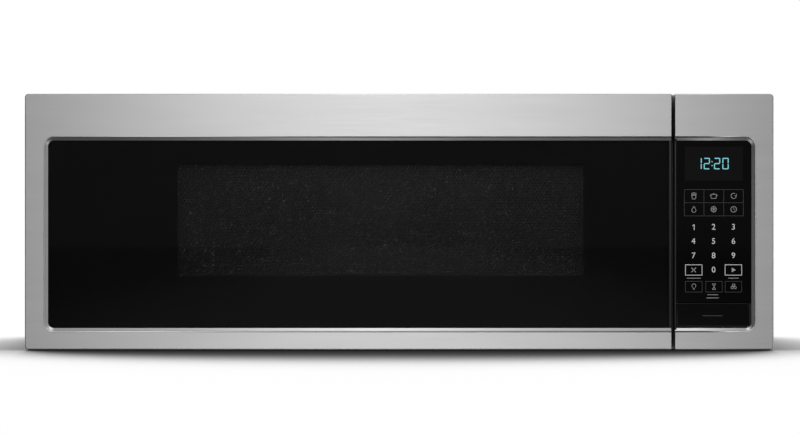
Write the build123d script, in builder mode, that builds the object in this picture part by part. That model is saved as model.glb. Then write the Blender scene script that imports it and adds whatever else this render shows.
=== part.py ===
from build123d import *
from math import cos, pi, sin
import os

# Over-the-range microwave, low-profile form, in millimetres.
# +X is to the user's right, +Y is towards the wall and +Z is up.
# The origin is under the middle of the case, on its bottom face.

# Driving dimensions of the whole unit
width = 759.5
height = 260.35
depth = 466.0
case_inset = 5.0
sheet = 1.0
wall_recess = 9.0

# Door and control panel
door_depth = 42.0
door_air = 1.0
door_clear = 0.5
split_gap = 3.6
panel_width = 100.25
left_band = 19.0
right_band = 17.9
top_band = 42.9
bottom_band = 17.3
bevel_width = 4.4
bevel_drop = 2.5
bevel_radius = 10.5
glass_radius = 6.1
glass_thickness = 3.2
corner_radius = 3.5
edge_radius = 1.1
flange_depth = 38.0
edge_trim_width = 1.8

# Door swing
hinge_inset = 8.0
hinge_back = 9.0
hinge_arm_drop = 4.5
hinge_arm_height = 4.0
hinge_arm_width = 12.0
hinge_pin_radius = 3.0
hinge_boss_radius = 6.5
hinge_pin_length = 16.0
running_gap = 0.05
seat_gap = 0.3

# Inner door
door_window_width = 413.0
door_window_height = 115.0
door_window_x = -19.0
door_window_z = 132.5
screen_thickness = 0.5
inner_window_lap = 6.0
cover_thickness = 1.2
latch_travel = 5.0
hook_width = 9.0
hook_reach = 17.0

# Oven cavity
cavity_width = 528.0
cavity_height = 170.0
cavity_depth = 320.0
cavity_x = -19.0
cavity_floor = 45.0
cavity_radius = 8.0

# Turntable
tray_radius = 152.5
tray_thickness = 4.0
tray_rim = 9.0
roller_radius = 9.0
roller_width = 8.0
roller_circle = 105.0
roller_count = 3
axle_radius = 2.2
coupler_radius = 9.0
lobe_length = 13.0
lobe_width = 7.0
drive_shaft_radius = 3.5

# Exhaust port and blower
port_width = 254.0
port_depth = 82.6
port_margin = 4.0
damper_depth = 22.0
flap_thickness = 1.0
flap_roll_radius = 2.0
flap_pin_radius = 1.2
duct_wall = 1.2
wheel_radius = 30.0
wheel_width = 50.0
scroll_radius = 42.0
scroll_width = 62.0
blower_height = 130.0
blower_motor_radius = 28.0
blower_motor_length = 56.0
blower_shaft_radius = 4.0
blade_count = 20

# Grease filters in the base
filter_length = 200.0
filter_depth = 150.0
filter_thickness = 8.0
filter_lap = 6.0
filter_travel = 9.0
filter_x = 148.0
filter_y = 20.0
filter_side_gap = 2.0

# Interfaces to the kitchen
cabinet_bolt_spacing = 600.0
cabinet_bolt_y = 40.0
cabinet_bolt_radius = 4.0
wall_plate_thickness = 1.5
wall_plate_width = 660.0
wall_plate_height = 200.0
stud_spacing = 406.4
stud_hole_radius = 3.2
cord_hole_radius = 11.0
cord_hole_x = 330.0
cord_hole_y = 195.0

# Places worked out from the driving dimensions
left = -width / 2
right = width / 2
front = -depth / 2
back = depth / 2
face_y = front + door_depth + door_air
door_back = front + door_depth
door_right = right - panel_width - split_gap
panel_left = right - panel_width
door_low = door_clear
door_high = height - door_clear
case_side = right - case_inset
inner_side = case_side - sheet
case_ceiling = height - sheet
back_panel_y = back - wall_recess - sheet
glass_front = front + bevel_drop
glass_back = glass_front + glass_thickness
bevel_left = left + left_band
bevel_right = right - right_band
bevel_low = door_low + bottom_band
bevel_high = door_high - top_band
cavity_left = cavity_x - cavity_width / 2
cavity_right = cavity_x + cavity_width / 2
cavity_ceiling = cavity_floor + cavity_height
cavity_front = face_y + sheet
cavity_back = cavity_front + cavity_depth
cavity_y = (cavity_front + cavity_back) / 2
port_y = back_panel_y - port_margin - port_depth / 2


def block(x_span, y_span, z_span, mode=Mode.ADD):
    """A box between two values on each axis."""
    middle = [(low + high) / 2 for low, high in (x_span, y_span, z_span)]
    with Locations(tuple(middle)):
        Box(x_span[1] - x_span[0], y_span[1] - y_span[0], z_span[1] - z_span[0], mode=mode)


def panel_outline(x_span, z_span, radius=0.0, mode=Mode.ADD):
    """A rectangle in a sketch, with or without round corners."""
    with Locations(((x_span[0] + x_span[1]) / 2, (z_span[0] + z_span[1]) / 2)):
        if radius > 0:
            RectangleRounded(x_span[1] - x_span[0], z_span[1] - z_span[0], radius, mode=mode)
        else:
            Rectangle(x_span[1] - x_span[0], z_span[1] - z_span[0], mode=mode)


def upright(y):
    """The upright plane at y, seen from the front; positive extrusion comes forward."""
    return Plane.XZ.offset(-y)


def save(builder, name):
    """Label a finished piece and write its file."""
    builder.part.label = name
    export_step(builder.part, f"parts/{name}.step")


os.makedirs("parts", exist_ok=True)

# Outer case: one folded sheet over the top and both sides
vent_width = 480.0
vent_depth = 40.0
vent_y = face_y + 36.0
screw_head_radius = 4.0
screw_head_height = 2.0
screw_inset = 30.0
screw_heights = (40.0, height - 40.0)
with BuildPart() as outer_case:
    with BuildSketch(upright(face_y)):
        panel_outline((-case_side, case_side), (0, height))
        panel_outline((-inner_side, inner_side), (-sheet, case_ceiling), mode=Mode.SUBTRACT)
    extrude(amount=-(back - face_y))
    fold_edges = outer_case.edges().filter_by(Axis.Y).group_by(Axis.Z)
    fillet(fold_edges[-1], sheet * 1.5)
    # The openings of the top: exhaust port, room vent, cabinet bolts and cord
    with BuildSketch(Plane.XY.offset(height)):
        with Locations((0, port_y)):
            Rectangle(port_width, port_depth)
        with Locations((0, vent_y)):
            RectangleRounded(vent_width, vent_depth, 3)
        with Locations((0, cabinet_bolt_y)):
            with GridLocations(cabinet_bolt_spacing, 0, 2, 1):
                Circle(cabinet_bolt_radius)
        with Locations((cord_hole_x, cord_hole_y)):
            Circle(cord_hole_radius)
    extrude(amount=-3 * sheet, mode=Mode.SUBTRACT)
save(outer_case, "outer_case")

# Front plate: the face of the body, with the oven mouth and the slots behind the door
hinge_x = left + hinge_inset
hinge_y = door_back - hinge_back
hook_x = door_right - 9.0
hook_levels = (door_low + 57.5, door_high - 55.0)
hook_slot_width = hook_width + 4.0
hook_slot_height = 30.0
plate_low = sheet
arm_slot_gap = 0.4
arm_levels = (
    (door_low + hinge_arm_drop, door_low + hinge_arm_drop + hinge_arm_height),
    (door_high - hinge_arm_drop - hinge_arm_height, door_high - hinge_arm_drop),
)
arm_span = (hinge_x - hinge_arm_width / 2, hinge_x + hinge_arm_width / 2)
arm_inner = (-inner_side + arm_slot_gap, arm_span[1])
with BuildPart() as front_plate:
    with BuildSketch(upright(face_y)):
        panel_outline((-inner_side, inner_side), (plate_low, case_ceiling))
        panel_outline((cavity_left, cavity_right), (cavity_floor, cavity_ceiling),
                      cavity_radius, mode=Mode.SUBTRACT)
        for level in hook_levels:
            panel_outline((hook_x - hook_slot_width / 2, hook_x + hook_slot_width / 2),
                          (level - hook_slot_height / 2, level + hook_slot_height / 2),
                          2, mode=Mode.SUBTRACT)
        for low, high in arm_levels:
            panel_outline((-inner_side, arm_inner[1] + arm_slot_gap),
                          (low - arm_slot_gap, high + arm_slot_gap), mode=Mode.SUBTRACT)
    extrude(amount=-sheet)
save(front_plate, "front_plate")

# Oven cavity: a welded steel box, open to the front
lamp_x = cavity_left - sheet
feed_size = (70.0, 42.0)
feed_y = cavity_y + 40.0
feed_z = cavity_floor + 105.0
drive_hole_radius = 7.0
with BuildPart() as oven_cavity:
    with BuildSketch(upright(cavity_front)):
        panel_outline((cavity_left - sheet, cavity_right + sheet),
                      (cavity_floor - sheet, cavity_ceiling + sheet), cavity_radius + sheet)
    extrude(amount=-(cavity_depth + sheet))
    with BuildSketch(upright(cavity_front)):
        panel_outline((cavity_left, cavity_right), (cavity_floor, cavity_ceiling), cavity_radius)
    extrude(amount=-cavity_depth, mode=Mode.SUBTRACT)
    # The hole of the turntable shaft
    with BuildSketch(Plane.XY.offset(cavity_floor)):
        with Locations((cavity_x, cavity_y)):
            Circle(drive_hole_radius)
    extrude(amount=-2 * sheet, mode=Mode.SUBTRACT)
    # The microwave inlet in the right wall
    with BuildSketch(Plane.YZ.offset(cavity_right - sheet)):
        with Locations((feed_y, feed_z)):
            Rectangle(*feed_size)
    extrude(amount=3 * sheet, mode=Mode.SUBTRACT)
    # Air holes and light holes high in the left wall and in the back of the right wall
    with BuildSketch(Plane.YZ.offset(cavity_left + sheet)):
        with Locations((cavity_y - 60, cavity_ceiling - 35)):
            with GridLocations(8, 8, 8, 4):
                Circle(2)
        with Locations((cavity_y + 60, cavity_ceiling - 35)):
            with GridLocations(8, 8, 5, 4):
                Circle(2)
    extrude(amount=-3 * sheet, mode=Mode.SUBTRACT)
save(oven_cavity, "oven_cavity")

# Base plate: the floor of the unit, over the cooktop
lamp_lens_size = (70.0, 40.0)
lamp_lens_y = -130.0
lamp_lens_x = 190.0
rail_gap = 0.5
filter_high = sheet + filter_thickness
filter_opening = filter_depth - 2 * filter_lap
foot_louvre = (60.0, 3.0)
with BuildPart() as base_plate:
    with BuildSketch(Plane.XY):
        panel_outline((-inner_side, inner_side), (face_y, back_panel_y))
        with Locations((0, filter_y)):
            with GridLocations(2 * filter_x, 0, 2, 1):
                Rectangle(filter_length + 2 * filter_side_gap, filter_opening, mode=Mode.SUBTRACT)
        with Locations((0, lamp_lens_y)):
            with GridLocations(2 * lamp_lens_x, 0, 2, 1):
                RectangleRounded(*lamp_lens_size, 4, mode=Mode.SUBTRACT)
        # Cooling louvres under the working parts
        with Locations((inner_side - 60, -60)):
            with GridLocations(0, 9, 1, 8):
                SlotOverall(*foot_louvre, mode=Mode.SUBTRACT)
    extrude(amount=sheet)
    # The rails that hold each grease filter down at its front and back edges
    for centre_x in (-filter_x, filter_x):
        x_span = (centre_x - filter_length / 2, centre_x + filter_length / 2)
        rail_top = filter_high + rail_gap + sheet
        front_wall = filter_y - filter_depth / 2 - rail_gap
        back_wall = filter_y + filter_depth / 2 + filter_travel + rail_gap
        block(x_span, (front_wall - sheet, front_wall), (sheet, rail_top))
        block(x_span, (front_wall, front_wall + filter_lap), (rail_top - sheet, rail_top))
        block(x_span, (back_wall, back_wall + sheet), (sheet, rail_top))
        block(x_span, (back_wall - filter_travel - filter_lap, back_wall), (rail_top - sheet, rail_top))
save(base_plate, "base_plate")

# Back panel, set in from the wall side by the recess of the mounting plate
hook_slot_x = 220.0
hook_slot_z = 30.0
hook_tab = (40.0, 6.0)
with BuildPart() as back_panel:
    with BuildSketch(upright(back_panel_y)):
        panel_outline((-inner_side, inner_side), (0, case_ceiling))
        with Locations((0, hook_slot_z)):
            with GridLocations(2 * hook_slot_x, 0, 2, 1):
                Rectangle(hook_tab[0] + 4, hook_tab[1] + 2, mode=Mode.SUBTRACT)
    extrude(amount=-sheet)
save(back_panel, "back_panel")

# Wall mounting plate: flat on the wall, its two hooks through slots in the back panel
plate_bottom = 18.0
cup_radius = 12.0
hook_reach_in = 6.0
with BuildPart() as wall_mounting_plate:
    with BuildSketch(upright(back)):
        panel_outline((-wall_plate_width / 2, wall_plate_width / 2),
                      (plate_bottom, plate_bottom + wall_plate_height), 6)
        with Locations((0, plate_bottom + wall_plate_height / 2)):
            Rectangle(wall_plate_width - 120, wall_plate_height - 110, mode=Mode.SUBTRACT)
        with Locations((0, plate_bottom + wall_plate_height - 28)):
            with GridLocations(stud_spacing, 0, 2, 1):
                Circle(stud_hole_radius, mode=Mode.SUBTRACT)
    extrude(amount=wall_plate_thickness)
    # Pressed cups that keep the plate off the back panel
    with BuildSketch(upright(back - wall_plate_thickness)):
        with Locations((0, plate_bottom + wall_plate_height / 2)):
            with GridLocations(wall_plate_width - 50, wall_plate_height - 40, 2, 2):
                Circle(cup_radius)
    extrude(amount=wall_recess - wall_plate_thickness)
    # The two hooks that carry the unit's lower back edge
    for hook_place in (-hook_slot_x, hook_slot_x):
        x_span = (hook_place - hook_tab[0] / 2, hook_place + hook_tab[0] / 2)
        tab_low = hook_slot_z - hook_tab[1] / 2
        block(x_span, (back_panel_y - hook_reach_in, back), (tab_low, tab_low + 2))
        block(x_span, (back_panel_y - hook_reach_in, back_panel_y - hook_reach_in + 2),
              (tab_low, tab_low + hook_tab[1]))
save(wall_mounting_plate, "wall_mounting_plate")

# Room vent: a moulded grille in the top, with the charcoal filter clipped under it
grille_flange = 1.5
grille_lap = 3.0
vent_slot_pitch = 9.0
vent_slot_length = 70.0
vent_column_pitch = vent_slot_length + 8.0
vent_columns = int(vent_width // vent_column_pitch)
vent_rows = int(vent_depth // vent_slot_pitch)
charcoal_height = 15.0
with BuildPart() as vent_grille:
    with BuildSketch(Plane.XY.offset(height)):
        with Locations((0, vent_y)):
            RectangleRounded(vent_width - 2 * seat_gap, vent_depth - 2 * seat_gap, 3)
    extrude(amount=-sheet - grille_flange)
    with BuildSketch(Plane.XY.offset(case_ceiling)):
        with Locations((0, vent_y)):
            RectangleRounded(vent_width + 2 * grille_lap, vent_depth + 2 * grille_lap, 4)
    extrude(amount=-grille_flange)
    with BuildSketch(Plane.XY.offset(height)):
        with Locations((0, vent_y)):
            with GridLocations(vent_column_pitch, vent_slot_pitch, vent_columns, vent_rows):
                SlotOverall(vent_slot_length, 5)
    extrude(amount=-3 * grille_flange, mode=Mode.SUBTRACT)
    # The end clips of the charcoal filter
    clip_top = case_ceiling - grille_flange
    for side in (-1, 1):
        inside = side * (vent_width / 2 - 4 + seat_gap)
        outside = inside + side * 2
        x_span = (min(inside, outside), max(inside, outside))
        block(x_span, (vent_y - 12, vent_y + 12), (clip_top - charcoal_height - 2, clip_top))
        lip = inside - side * 4
        x_span = (min(lip, outside), max(lip, outside))
        low = clip_top - charcoal_height - seat_gap
        block(x_span, (vent_y - 12, vent_y + 12), (low - 2, low))
save(vent_grille, "vent_grille")

with BuildPart() as charcoal_filter:
    with BuildSketch(Plane.XY.offset(case_ceiling - grille_flange)):
        with Locations((0, vent_y)):
            RectangleRounded(vent_width - 8, vent_depth, 3)
    extrude(amount=-charcoal_height)
save(charcoal_filter, "charcoal_filter")

# Exhaust frame: the collar under the port, with the seat and the pivots of the damper flap
frame_lap = 3.0
frame_floor = height - damper_depth
flap_axis_y = port_y + port_depth / 2 - 2 * flap_roll_radius
flap_axis_z = frame_floor + seat_gap + flap_roll_radius
flap_half = port_width / 2 - 1.5
outlet_low = port_y - scroll_radius
outlet_high = port_y + scroll_radius * 0.43
scroll_x = 31.0 + blower_motor_length / 2 + 15.0
with BuildPart() as exhaust_frame:
    with BuildSketch(Plane.XY.offset(frame_floor - duct_wall)):
        with Locations((0, port_y)):
            Rectangle(port_width + 2 * duct_wall, port_depth + 2 * duct_wall)
    extrude(amount=case_ceiling - frame_floor + duct_wall)
    with BuildSketch(Plane.XY.offset(case_ceiling)):
        with Locations((0, port_y)):
            Rectangle(port_width + 2 * frame_lap, port_depth + 2 * frame_lap)
    extrude(amount=-grille_flange)
    with BuildSketch(Plane.XY.offset(height)):
        with Locations((0, port_y)):
            Rectangle(port_width, port_depth)
    extrude(amount=-damper_depth, mode=Mode.SUBTRACT)
    # The two blower outlets in its floor
    for side in (-1, 1):
        x_low = side * scroll_x - scroll_width / 2 + duct_wall
        x_high = side * scroll_x + scroll_width / 2 - duct_wall
        block((x_low, x_high), (outlet_low + 3 * duct_wall, outlet_high - duct_wall),
              (frame_floor - 2 * duct_wall, frame_floor + 1), mode=Mode.SUBTRACT)
    with BuildSketch(Plane.YZ.offset(-width / 2)):
        with Locations((flap_axis_y, flap_axis_z)):
            Circle(flap_pin_radius + running_gap)
    extrude(amount=width, mode=Mode.SUBTRACT)
save(exhaust_frame, "exhaust_frame")

# Damper flap: a sheet with a rolled back edge, which falls shut by its own weight
flap_front = port_y - port_depth / 2 + 2.0
with BuildPart() as damper_flap:
    with BuildSketch(Plane.YZ.offset(-flap_half)):
        with Locations((flap_axis_y, flap_axis_z)):
            Circle(flap_roll_radius)
    extrude(amount=2 * flap_half)
    flap_low = flap_axis_z - flap_roll_radius
    block((-flap_half, flap_half), (flap_front, flap_axis_y), (flap_low, flap_low + flap_thickness))
    block((-flap_half, flap_half), (flap_front, flap_front + flap_thickness), (flap_low, flap_low + 4))
    with BuildSketch(Plane.YZ.offset(-port_width / 2 - duct_wall)):
        with Locations((flap_axis_y, flap_axis_z)):
            Circle(flap_pin_radius)
    extrude(amount=port_width + 2 * duct_wall)
save(damper_flap, "damper_flap")

# Blower housing: two scrolls with an inlet in each side wall, joined by a strap under the motor
inlet_radius = wheel_radius - 6.0
strap_top = blower_height - blower_motor_radius - 6.0
with BuildPart() as blower_housing:
    for side in (-1, 1):
        x_low = side * scroll_x - scroll_width / 2
        with BuildSketch(Plane.YZ.offset(x_low)) as scroll_outline:
            with Locations((port_y, blower_height)):
                Circle(scroll_radius)
            panel_outline((outlet_low, outlet_high), (blower_height, frame_floor - duct_wall))
        extrude(amount=scroll_width)
        with BuildSketch(Plane.YZ.offset(x_low + duct_wall)):
            with Locations((port_y, blower_height)):
                Circle(scroll_radius - duct_wall)
            panel_outline((outlet_low + duct_wall, outlet_high - duct_wall), (blower_height, height))
        extrude(amount=scroll_width - 2 * duct_wall, mode=Mode.SUBTRACT)
        with BuildSketch(Plane.YZ.offset(x_low)):
            with Locations((port_y, blower_height)):
                Circle(inlet_radius)
        extrude(amount=scroll_width, mode=Mode.SUBTRACT)
    strap_end = scroll_x - scroll_width / 2 + duct_wall / 2
    block((-strap_end, strap_end), (port_y - 16, port_y + 16), (strap_top - 1.5, strap_top))
    # The brackets to the back panel
    for side in (-1, 1):
        foot_x = side * scroll_x
        block((foot_x - 20, foot_x + 20), (port_y + scroll_radius - 3, back_panel_y),
              (blower_height - 8, blower_height + 8))
        with BuildSketch(Plane.YZ.offset(foot_x - 21)):
            with Locations((port_y, blower_height)):
                Circle(scroll_radius - duct_wall)
        extrude(amount=42, mode=Mode.SUBTRACT)
save(blower_housing, "blower_housing")

with BuildPart() as blower_motor:
    with BuildSketch(Plane.YZ.offset(-blower_motor_length / 2)):
        with Locations((port_y, blower_height)):
            Circle(blower_motor_radius)
    extrude(amount=blower_motor_length)
    fillet(blower_motor.edges(), 3)
    with BuildSketch(Plane.YZ.offset(-blower_motor_length / 2 - 5)):
        with Locations((port_y, blower_height)):
            Circle(10)
    extrude(amount=blower_motor_length + 10)
    block((-18, 18), (port_y - 14, port_y + 14), (strap_top, blower_height))
    with BuildSketch(Plane.YZ.offset(-blower_motor_length)):
        with Locations((port_y, blower_height)):
            Circle(blower_shaft_radius + running_gap)
    extrude(amount=2 * blower_motor_length, mode=Mode.SUBTRACT)
save(blower_motor, "blower_motor")

# Blower wheels: two squirrel-cage wheels on one shaft
blade_thickness = 1.2
blade_inner = wheel_radius - 6.0
wheel_ring = 2.0
shaft_end = scroll_x + scroll_width / 2 + 4.0
with BuildPart() as blower_wheels:
    with BuildSketch(Plane.YZ.offset(-shaft_end)):
        with Locations((port_y, blower_height)):
            Circle(blower_shaft_radius)
    extrude(amount=2 * shaft_end)
    for side in (-1, 1):
        wheel_low = side * scroll_x - wheel_width / 2
        with BuildSketch(Plane.YZ.offset(side * scroll_x - 1)):
            with Locations((port_y, blower_height)):
                Circle(wheel_radius - 0.5)
        extrude(amount=2)
        with BuildSketch(Plane.YZ.offset(side * scroll_x - 7)):
            with Locations((port_y, blower_height)):
                Circle(2 * blower_shaft_radius)
        extrude(amount=14)
        with BuildSketch(Plane.YZ.offset(wheel_low)):
            with Locations((port_y, blower_height)):
                with PolarLocations((wheel_radius + blade_inner) / 2 - 0.5, blade_count):
                    Rectangle(wheel_radius - blade_inner - 1, blade_thickness, rotation=35)
        extrude(amount=wheel_width)
        for ring_low in (wheel_low, wheel_low + wheel_width - wheel_ring):
            with BuildSketch(Plane.YZ.offset(ring_low)):
                with Locations((port_y, blower_height)):
                    Circle(wheel_radius)
                    Circle(blade_inner, mode=Mode.SUBTRACT)
            extrude(amount=wheel_ring)
save(blower_wheels, "blower_wheels")

# Turntable: motor under the floor, drive coupler, roller ring, rollers and glass tray
turntable = (cavity_x, cavity_y)
motor_height = 18.0
motor_low = cavity_floor - sheet - motor_height
shaft_low = motor_low + 5.0
coupler_low = cavity_floor + 2.0
coupler_high = coupler_low + 12.0
with BuildPart() as turntable_motor:
    with BuildSketch(Plane.XY.offset(motor_low)):
        with Locations(turntable):
            Circle(25)
            Rectangle(64, 14)
    extrude(amount=motor_height)
    with BuildSketch(Plane.XY.offset(motor_low)):
        with Locations(turntable):
            with GridLocations(58, 0, 2, 1):
                Rectangle(14, 20)
    extrude(amount=motor_height - 2, mode=Mode.SUBTRACT)
    with BuildSketch(Plane.XY.offset(cavity_floor)):
        with Locations(turntable):
            Circle(drive_shaft_radius + running_gap)
    extrude(amount=shaft_low - cavity_floor, mode=Mode.SUBTRACT)
save(turntable_motor, "turntable_motor")

with BuildPart() as drive_coupler:
    with BuildSketch(Plane.XY.offset(shaft_low)):
        with Locations(turntable):
            Circle(drive_shaft_radius)
    extrude(amount=coupler_low - shaft_low)
    with BuildSketch(Plane.XY.offset(coupler_low)):
        with Locations(turntable):
            Circle(coupler_radius)
            with PolarLocations(lobe_length / 2, 3):
                Rectangle(lobe_length, lobe_width)
    extrude(amount=coupler_high - coupler_low)
save(drive_coupler, "drive_coupler")

axle_z = cavity_floor + seat_gap + roller_radius
tray_low = axle_z + roller_radius + seat_gap
ring_outer = roller_circle - roller_width / 2 - 7.0
ring_width = 6.0
with BuildPart() as roller_ring:
    with BuildSketch(Plane.XY.offset(axle_z - 2.5)):
        with Locations(turntable):
            Circle(ring_outer)
            Circle(ring_outer - ring_width, mode=Mode.SUBTRACT)
    extrude(amount=5)
    with Locations((*turntable, axle_z)):
        axle_low = ring_outer - ring_width / 2
        axle_high = roller_circle + roller_width / 2 + 0.6
        with PolarLocations((axle_low + axle_high) / 2, roller_count):
            Cylinder(axle_radius, axle_high - axle_low, rotation=(0, 90, 0))
        with PolarLocations(axle_high + 0.8, roller_count):
            Cylinder(axle_radius + 1.4, 1.6, rotation=(0, 90, 0))
save(roller_ring, "roller_ring")

for number in range(roller_count):
    angle = 2 * pi * number / roller_count
    outward = (cos(angle), sin(angle), 0)
    inner_face = roller_circle - roller_width / 2
    origin = (cavity_x + inner_face * outward[0], cavity_y + inner_face * outward[1], axle_z)
    with BuildPart() as roller:
        with BuildSketch(Plane(origin=origin, z_dir=outward)):
            Circle(roller_radius)
            Circle(axle_radius + running_gap, mode=Mode.SUBTRACT)
        extrude(amount=roller_width)
        fillet(roller.edges().filter_by(GeomType.CIRCLE).group_by(SortBy.RADIUS)[-1], 1)
    save(roller, f"roller_{number + 1}")

hub_inner = lobe_length + 2.0
tray_flat = tray_radius - 13.0
tray_axis = Axis((cavity_x, cavity_y, 0), (0, 0, 1))
with BuildPart() as glass_tray:
    with BuildSketch(Plane(origin=(cavity_x, cavity_y, tray_low), z_dir=(0, -1, 0), x_dir=(1, 0, 0))):
        with BuildLine():
            Polyline((0, 0), (tray_flat, 0), (tray_radius, tray_rim - 2), (tray_radius, tray_rim),
                     (tray_radius - 4, tray_rim), (tray_flat - 3, tray_thickness), (0, tray_thickness),
                     close=True)
        make_face()
    revolve(axis=tray_axis)
    with BuildSketch(Plane.XY.offset(tray_low)):
        with Locations(turntable):
            Circle(hub_inner + 4)
            Circle(hub_inner, mode=Mode.SUBTRACT)
            with PolarLocations(hub_inner - 1.5, 3, start_angle=60):
                Rectangle(6, 4)
    extrude(amount=-8)
save(glass_tray, "glass_tray")

# Grease filters: aluminium frames round an open mesh
mesh_columns = 12
mesh_rows = 8
mesh_bar = 3.0
for side, name in ((-1, "grease_filter_left"), (1, "grease_filter_right")):
    with BuildPart() as grease_filter:
        with BuildSketch(Plane.XY.offset(sheet)):
            with Locations((side * filter_x, filter_y)):
                RectangleRounded(filter_length, filter_depth, 4)
        extrude(amount=filter_thickness)
        field = (filter_length - 24, filter_depth - 24)
        with BuildSketch(Plane.XY.offset(sheet)):
            with Locations((side * filter_x, filter_y)):
                Rectangle(*field)
        extrude(amount=3, mode=Mode.SUBTRACT)
        with BuildSketch(Plane.XY.offset(filter_high)):
            with Locations((side * filter_x, filter_y)):
                Rectangle(*field)
        extrude(amount=-3, mode=Mode.SUBTRACT)
        pitch = (field[0] / mesh_columns, field[1] / mesh_rows)
        with BuildSketch(Plane.XY):
            with Locations((side * filter_x, filter_y)):
                with GridLocations(*pitch, mesh_columns, mesh_rows):
                    Rectangle(pitch[0] - mesh_bar, pitch[1] - mesh_bar)
        extrude(amount=2 * filter_thickness, mode=Mode.SUBTRACT)
    save(grease_filter, name)

# Door skin: a folded stainless sheet round the glass, open at its right edge
glass_left = bevel_left
glass_right = door_right - edge_trim_width
skin_back = front + flange_depth
with BuildPart() as door_skin:
    with BuildSketch(upright(front)):
        panel_outline((left, door_right), (door_low, door_high))
    extrude(amount=-flange_depth)
    fillet(door_skin.edges().filter_by(Axis.Y).group_by(Axis.X)[0], corner_radius)
    front_edges = door_skin.faces().sort_by(Axis.Y)[0].edges()
    fillet(front_edges.sort_by(Axis.X)[:-1], edge_radius)
    block((left + sheet, door_right), (front + sheet, skin_back),
          (door_low + sheet, door_high - sheet), mode=Mode.SUBTRACT)
    # The rolled rim round the glass
    with BuildSketch(upright(front + sheet / 2)):
        panel_outline((bevel_left - sheet, door_right), (bevel_low - sheet, bevel_high + sheet))
    extrude(amount=-(bevel_drop - sheet / 2))
    with BuildSketch(upright(front)):
        panel_outline((bevel_left, door_right + 2 * bevel_radius), (bevel_low, bevel_high),
                      bevel_radius)
    with BuildSketch(upright(glass_front)):
        panel_outline((bevel_left + bevel_width, door_right + 2 * bevel_radius - bevel_width),
                      (bevel_low + bevel_width, bevel_high - bevel_width), glass_radius)
    loft(mode=Mode.SUBTRACT)
    # The reliefs that let the left flange swing past the hinge arms
    for low, high in arm_levels:
        block((left - sheet, left + 2 * sheet), (hinge_y - 10.0, skin_back + sheet),
              (low - arm_slot_gap, high + arm_slot_gap), mode=Mode.SUBTRACT)
save(door_skin, "door_skin")

with BuildPart() as door_glass:
    with BuildSketch(upright(glass_front)):
        panel_outline((glass_left, glass_right), (bevel_low, bevel_high))
    extrude(amount=-glass_thickness)
save(door_glass, "door_glass")

with BuildPart() as door_edge_trim:
    with BuildSketch(upright(glass_front)):
        panel_outline((glass_right, door_right), (door_low + sheet, door_high - sheet))
    extrude(amount=-(skin_back - glass_front))
save(door_edge_trim, "door_edge_trim")

# Inner door frame: the steel pan with the glass ledge, the screen opening and the choke
cover_front = door_back - cover_thickness
inner_window_thickness = 2.0
inner_window_size = (door_window_width + 36, door_window_height + 36)
frame_left = hinge_x - 3.0
frame_right = glass_right
hinge_washer = 1.5
frame_low = arm_levels[0][1] + hinge_washer
frame_high = arm_levels[1][0] - hinge_washer
web_y = front + 20.0
ledge_inset = 3.0
window_x_span = (door_window_x - door_window_width / 2, door_window_x + door_window_width / 2)
window_z_span = (door_window_z - door_window_height / 2, door_window_z + door_window_height / 2)
choke_size = (inner_window_size[0] - 2, inner_window_size[1] - 2)
with BuildPart() as door_inner_frame:
    with BuildSketch(upright(front + sheet)):
        panel_outline((frame_left, frame_right), (frame_low, frame_high))
    extrude(amount=-(cover_front - front - sheet))
    block((frame_left + sheet, frame_right - sheet), (front, web_y),
          (frame_low + sheet, frame_high - sheet), mode=Mode.SUBTRACT)
    block((frame_left + sheet, frame_right - sheet), (web_y + sheet, cover_front),
          (frame_low + sheet, frame_high - sheet), mode=Mode.SUBTRACT)
    # The glass lies against the rim of the skin, so the pan's front is cut back round it
    block((glass_left - 1, frame_right), (front, glass_back),
          (bevel_low - 1, bevel_high + 1), mode=Mode.SUBTRACT)
    with BuildSketch(upright(glass_back)):
        ledge_x = (glass_left + ledge_inset, frame_right - sheet)
        ledge_z = (bevel_low + ledge_inset, bevel_high - ledge_inset)
        panel_outline(ledge_x, ledge_z)
        panel_outline((ledge_x[0] + sheet, ledge_x[1] - sheet), (ledge_z[0] + sheet, ledge_z[1] - sheet),
                      mode=Mode.SUBTRACT)
    extrude(amount=-(web_y - glass_back))
    # The wall round the inner window
    with BuildSketch(upright(web_y + sheet)):
        with Locations((door_window_x, door_window_z)):
            Rectangle(*choke_size)
            Rectangle(choke_size[0] - 2 * sheet, choke_size[1] - 2 * sheet, mode=Mode.SUBTRACT)
    extrude(amount=-(cover_front - inner_window_thickness - web_y - sheet))
    with BuildSketch(upright(web_y)):
        panel_outline(window_x_span, window_z_span, 3)
    extrude(amount=-sheet, mode=Mode.SUBTRACT)
    # The bosses and bores of the hinge pins
    for boss_low in (frame_low, frame_high - hinge_pin_length - sheet):
        with BuildSketch(Plane.XY.offset(boss_low)):
            with Locations((hinge_x, hinge_y)):
                Circle(hinge_boss_radius)
        extrude(amount=hinge_pin_length + sheet)
    for bore_low in (frame_low - sheet, frame_high - hinge_pin_length):
        with BuildSketch(Plane.XY.offset(bore_low)):
            with Locations((hinge_x, hinge_y)):
                Circle(hinge_pin_radius + running_gap)
        extrude(amount=hinge_pin_length + sheet, mode=Mode.SUBTRACT)
save(door_inner_frame, "door_inner_frame")

with BuildPart() as door_screen:
    with BuildSketch(upright(web_y - screen_thickness)):
        with Locations((door_window_x, door_window_z)):
            Rectangle(door_window_width + 20, door_window_height + 20)
    extrude(amount=-screen_thickness)
save(door_screen, "door_screen")

with BuildPart() as inner_window:
    with BuildSketch(upright(cover_front - inner_window_thickness)):
        with Locations((door_window_x, door_window_z)):
            Rectangle(*inner_window_size)
    extrude(amount=-inner_window_thickness)
save(inner_window, "inner_window")

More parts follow.
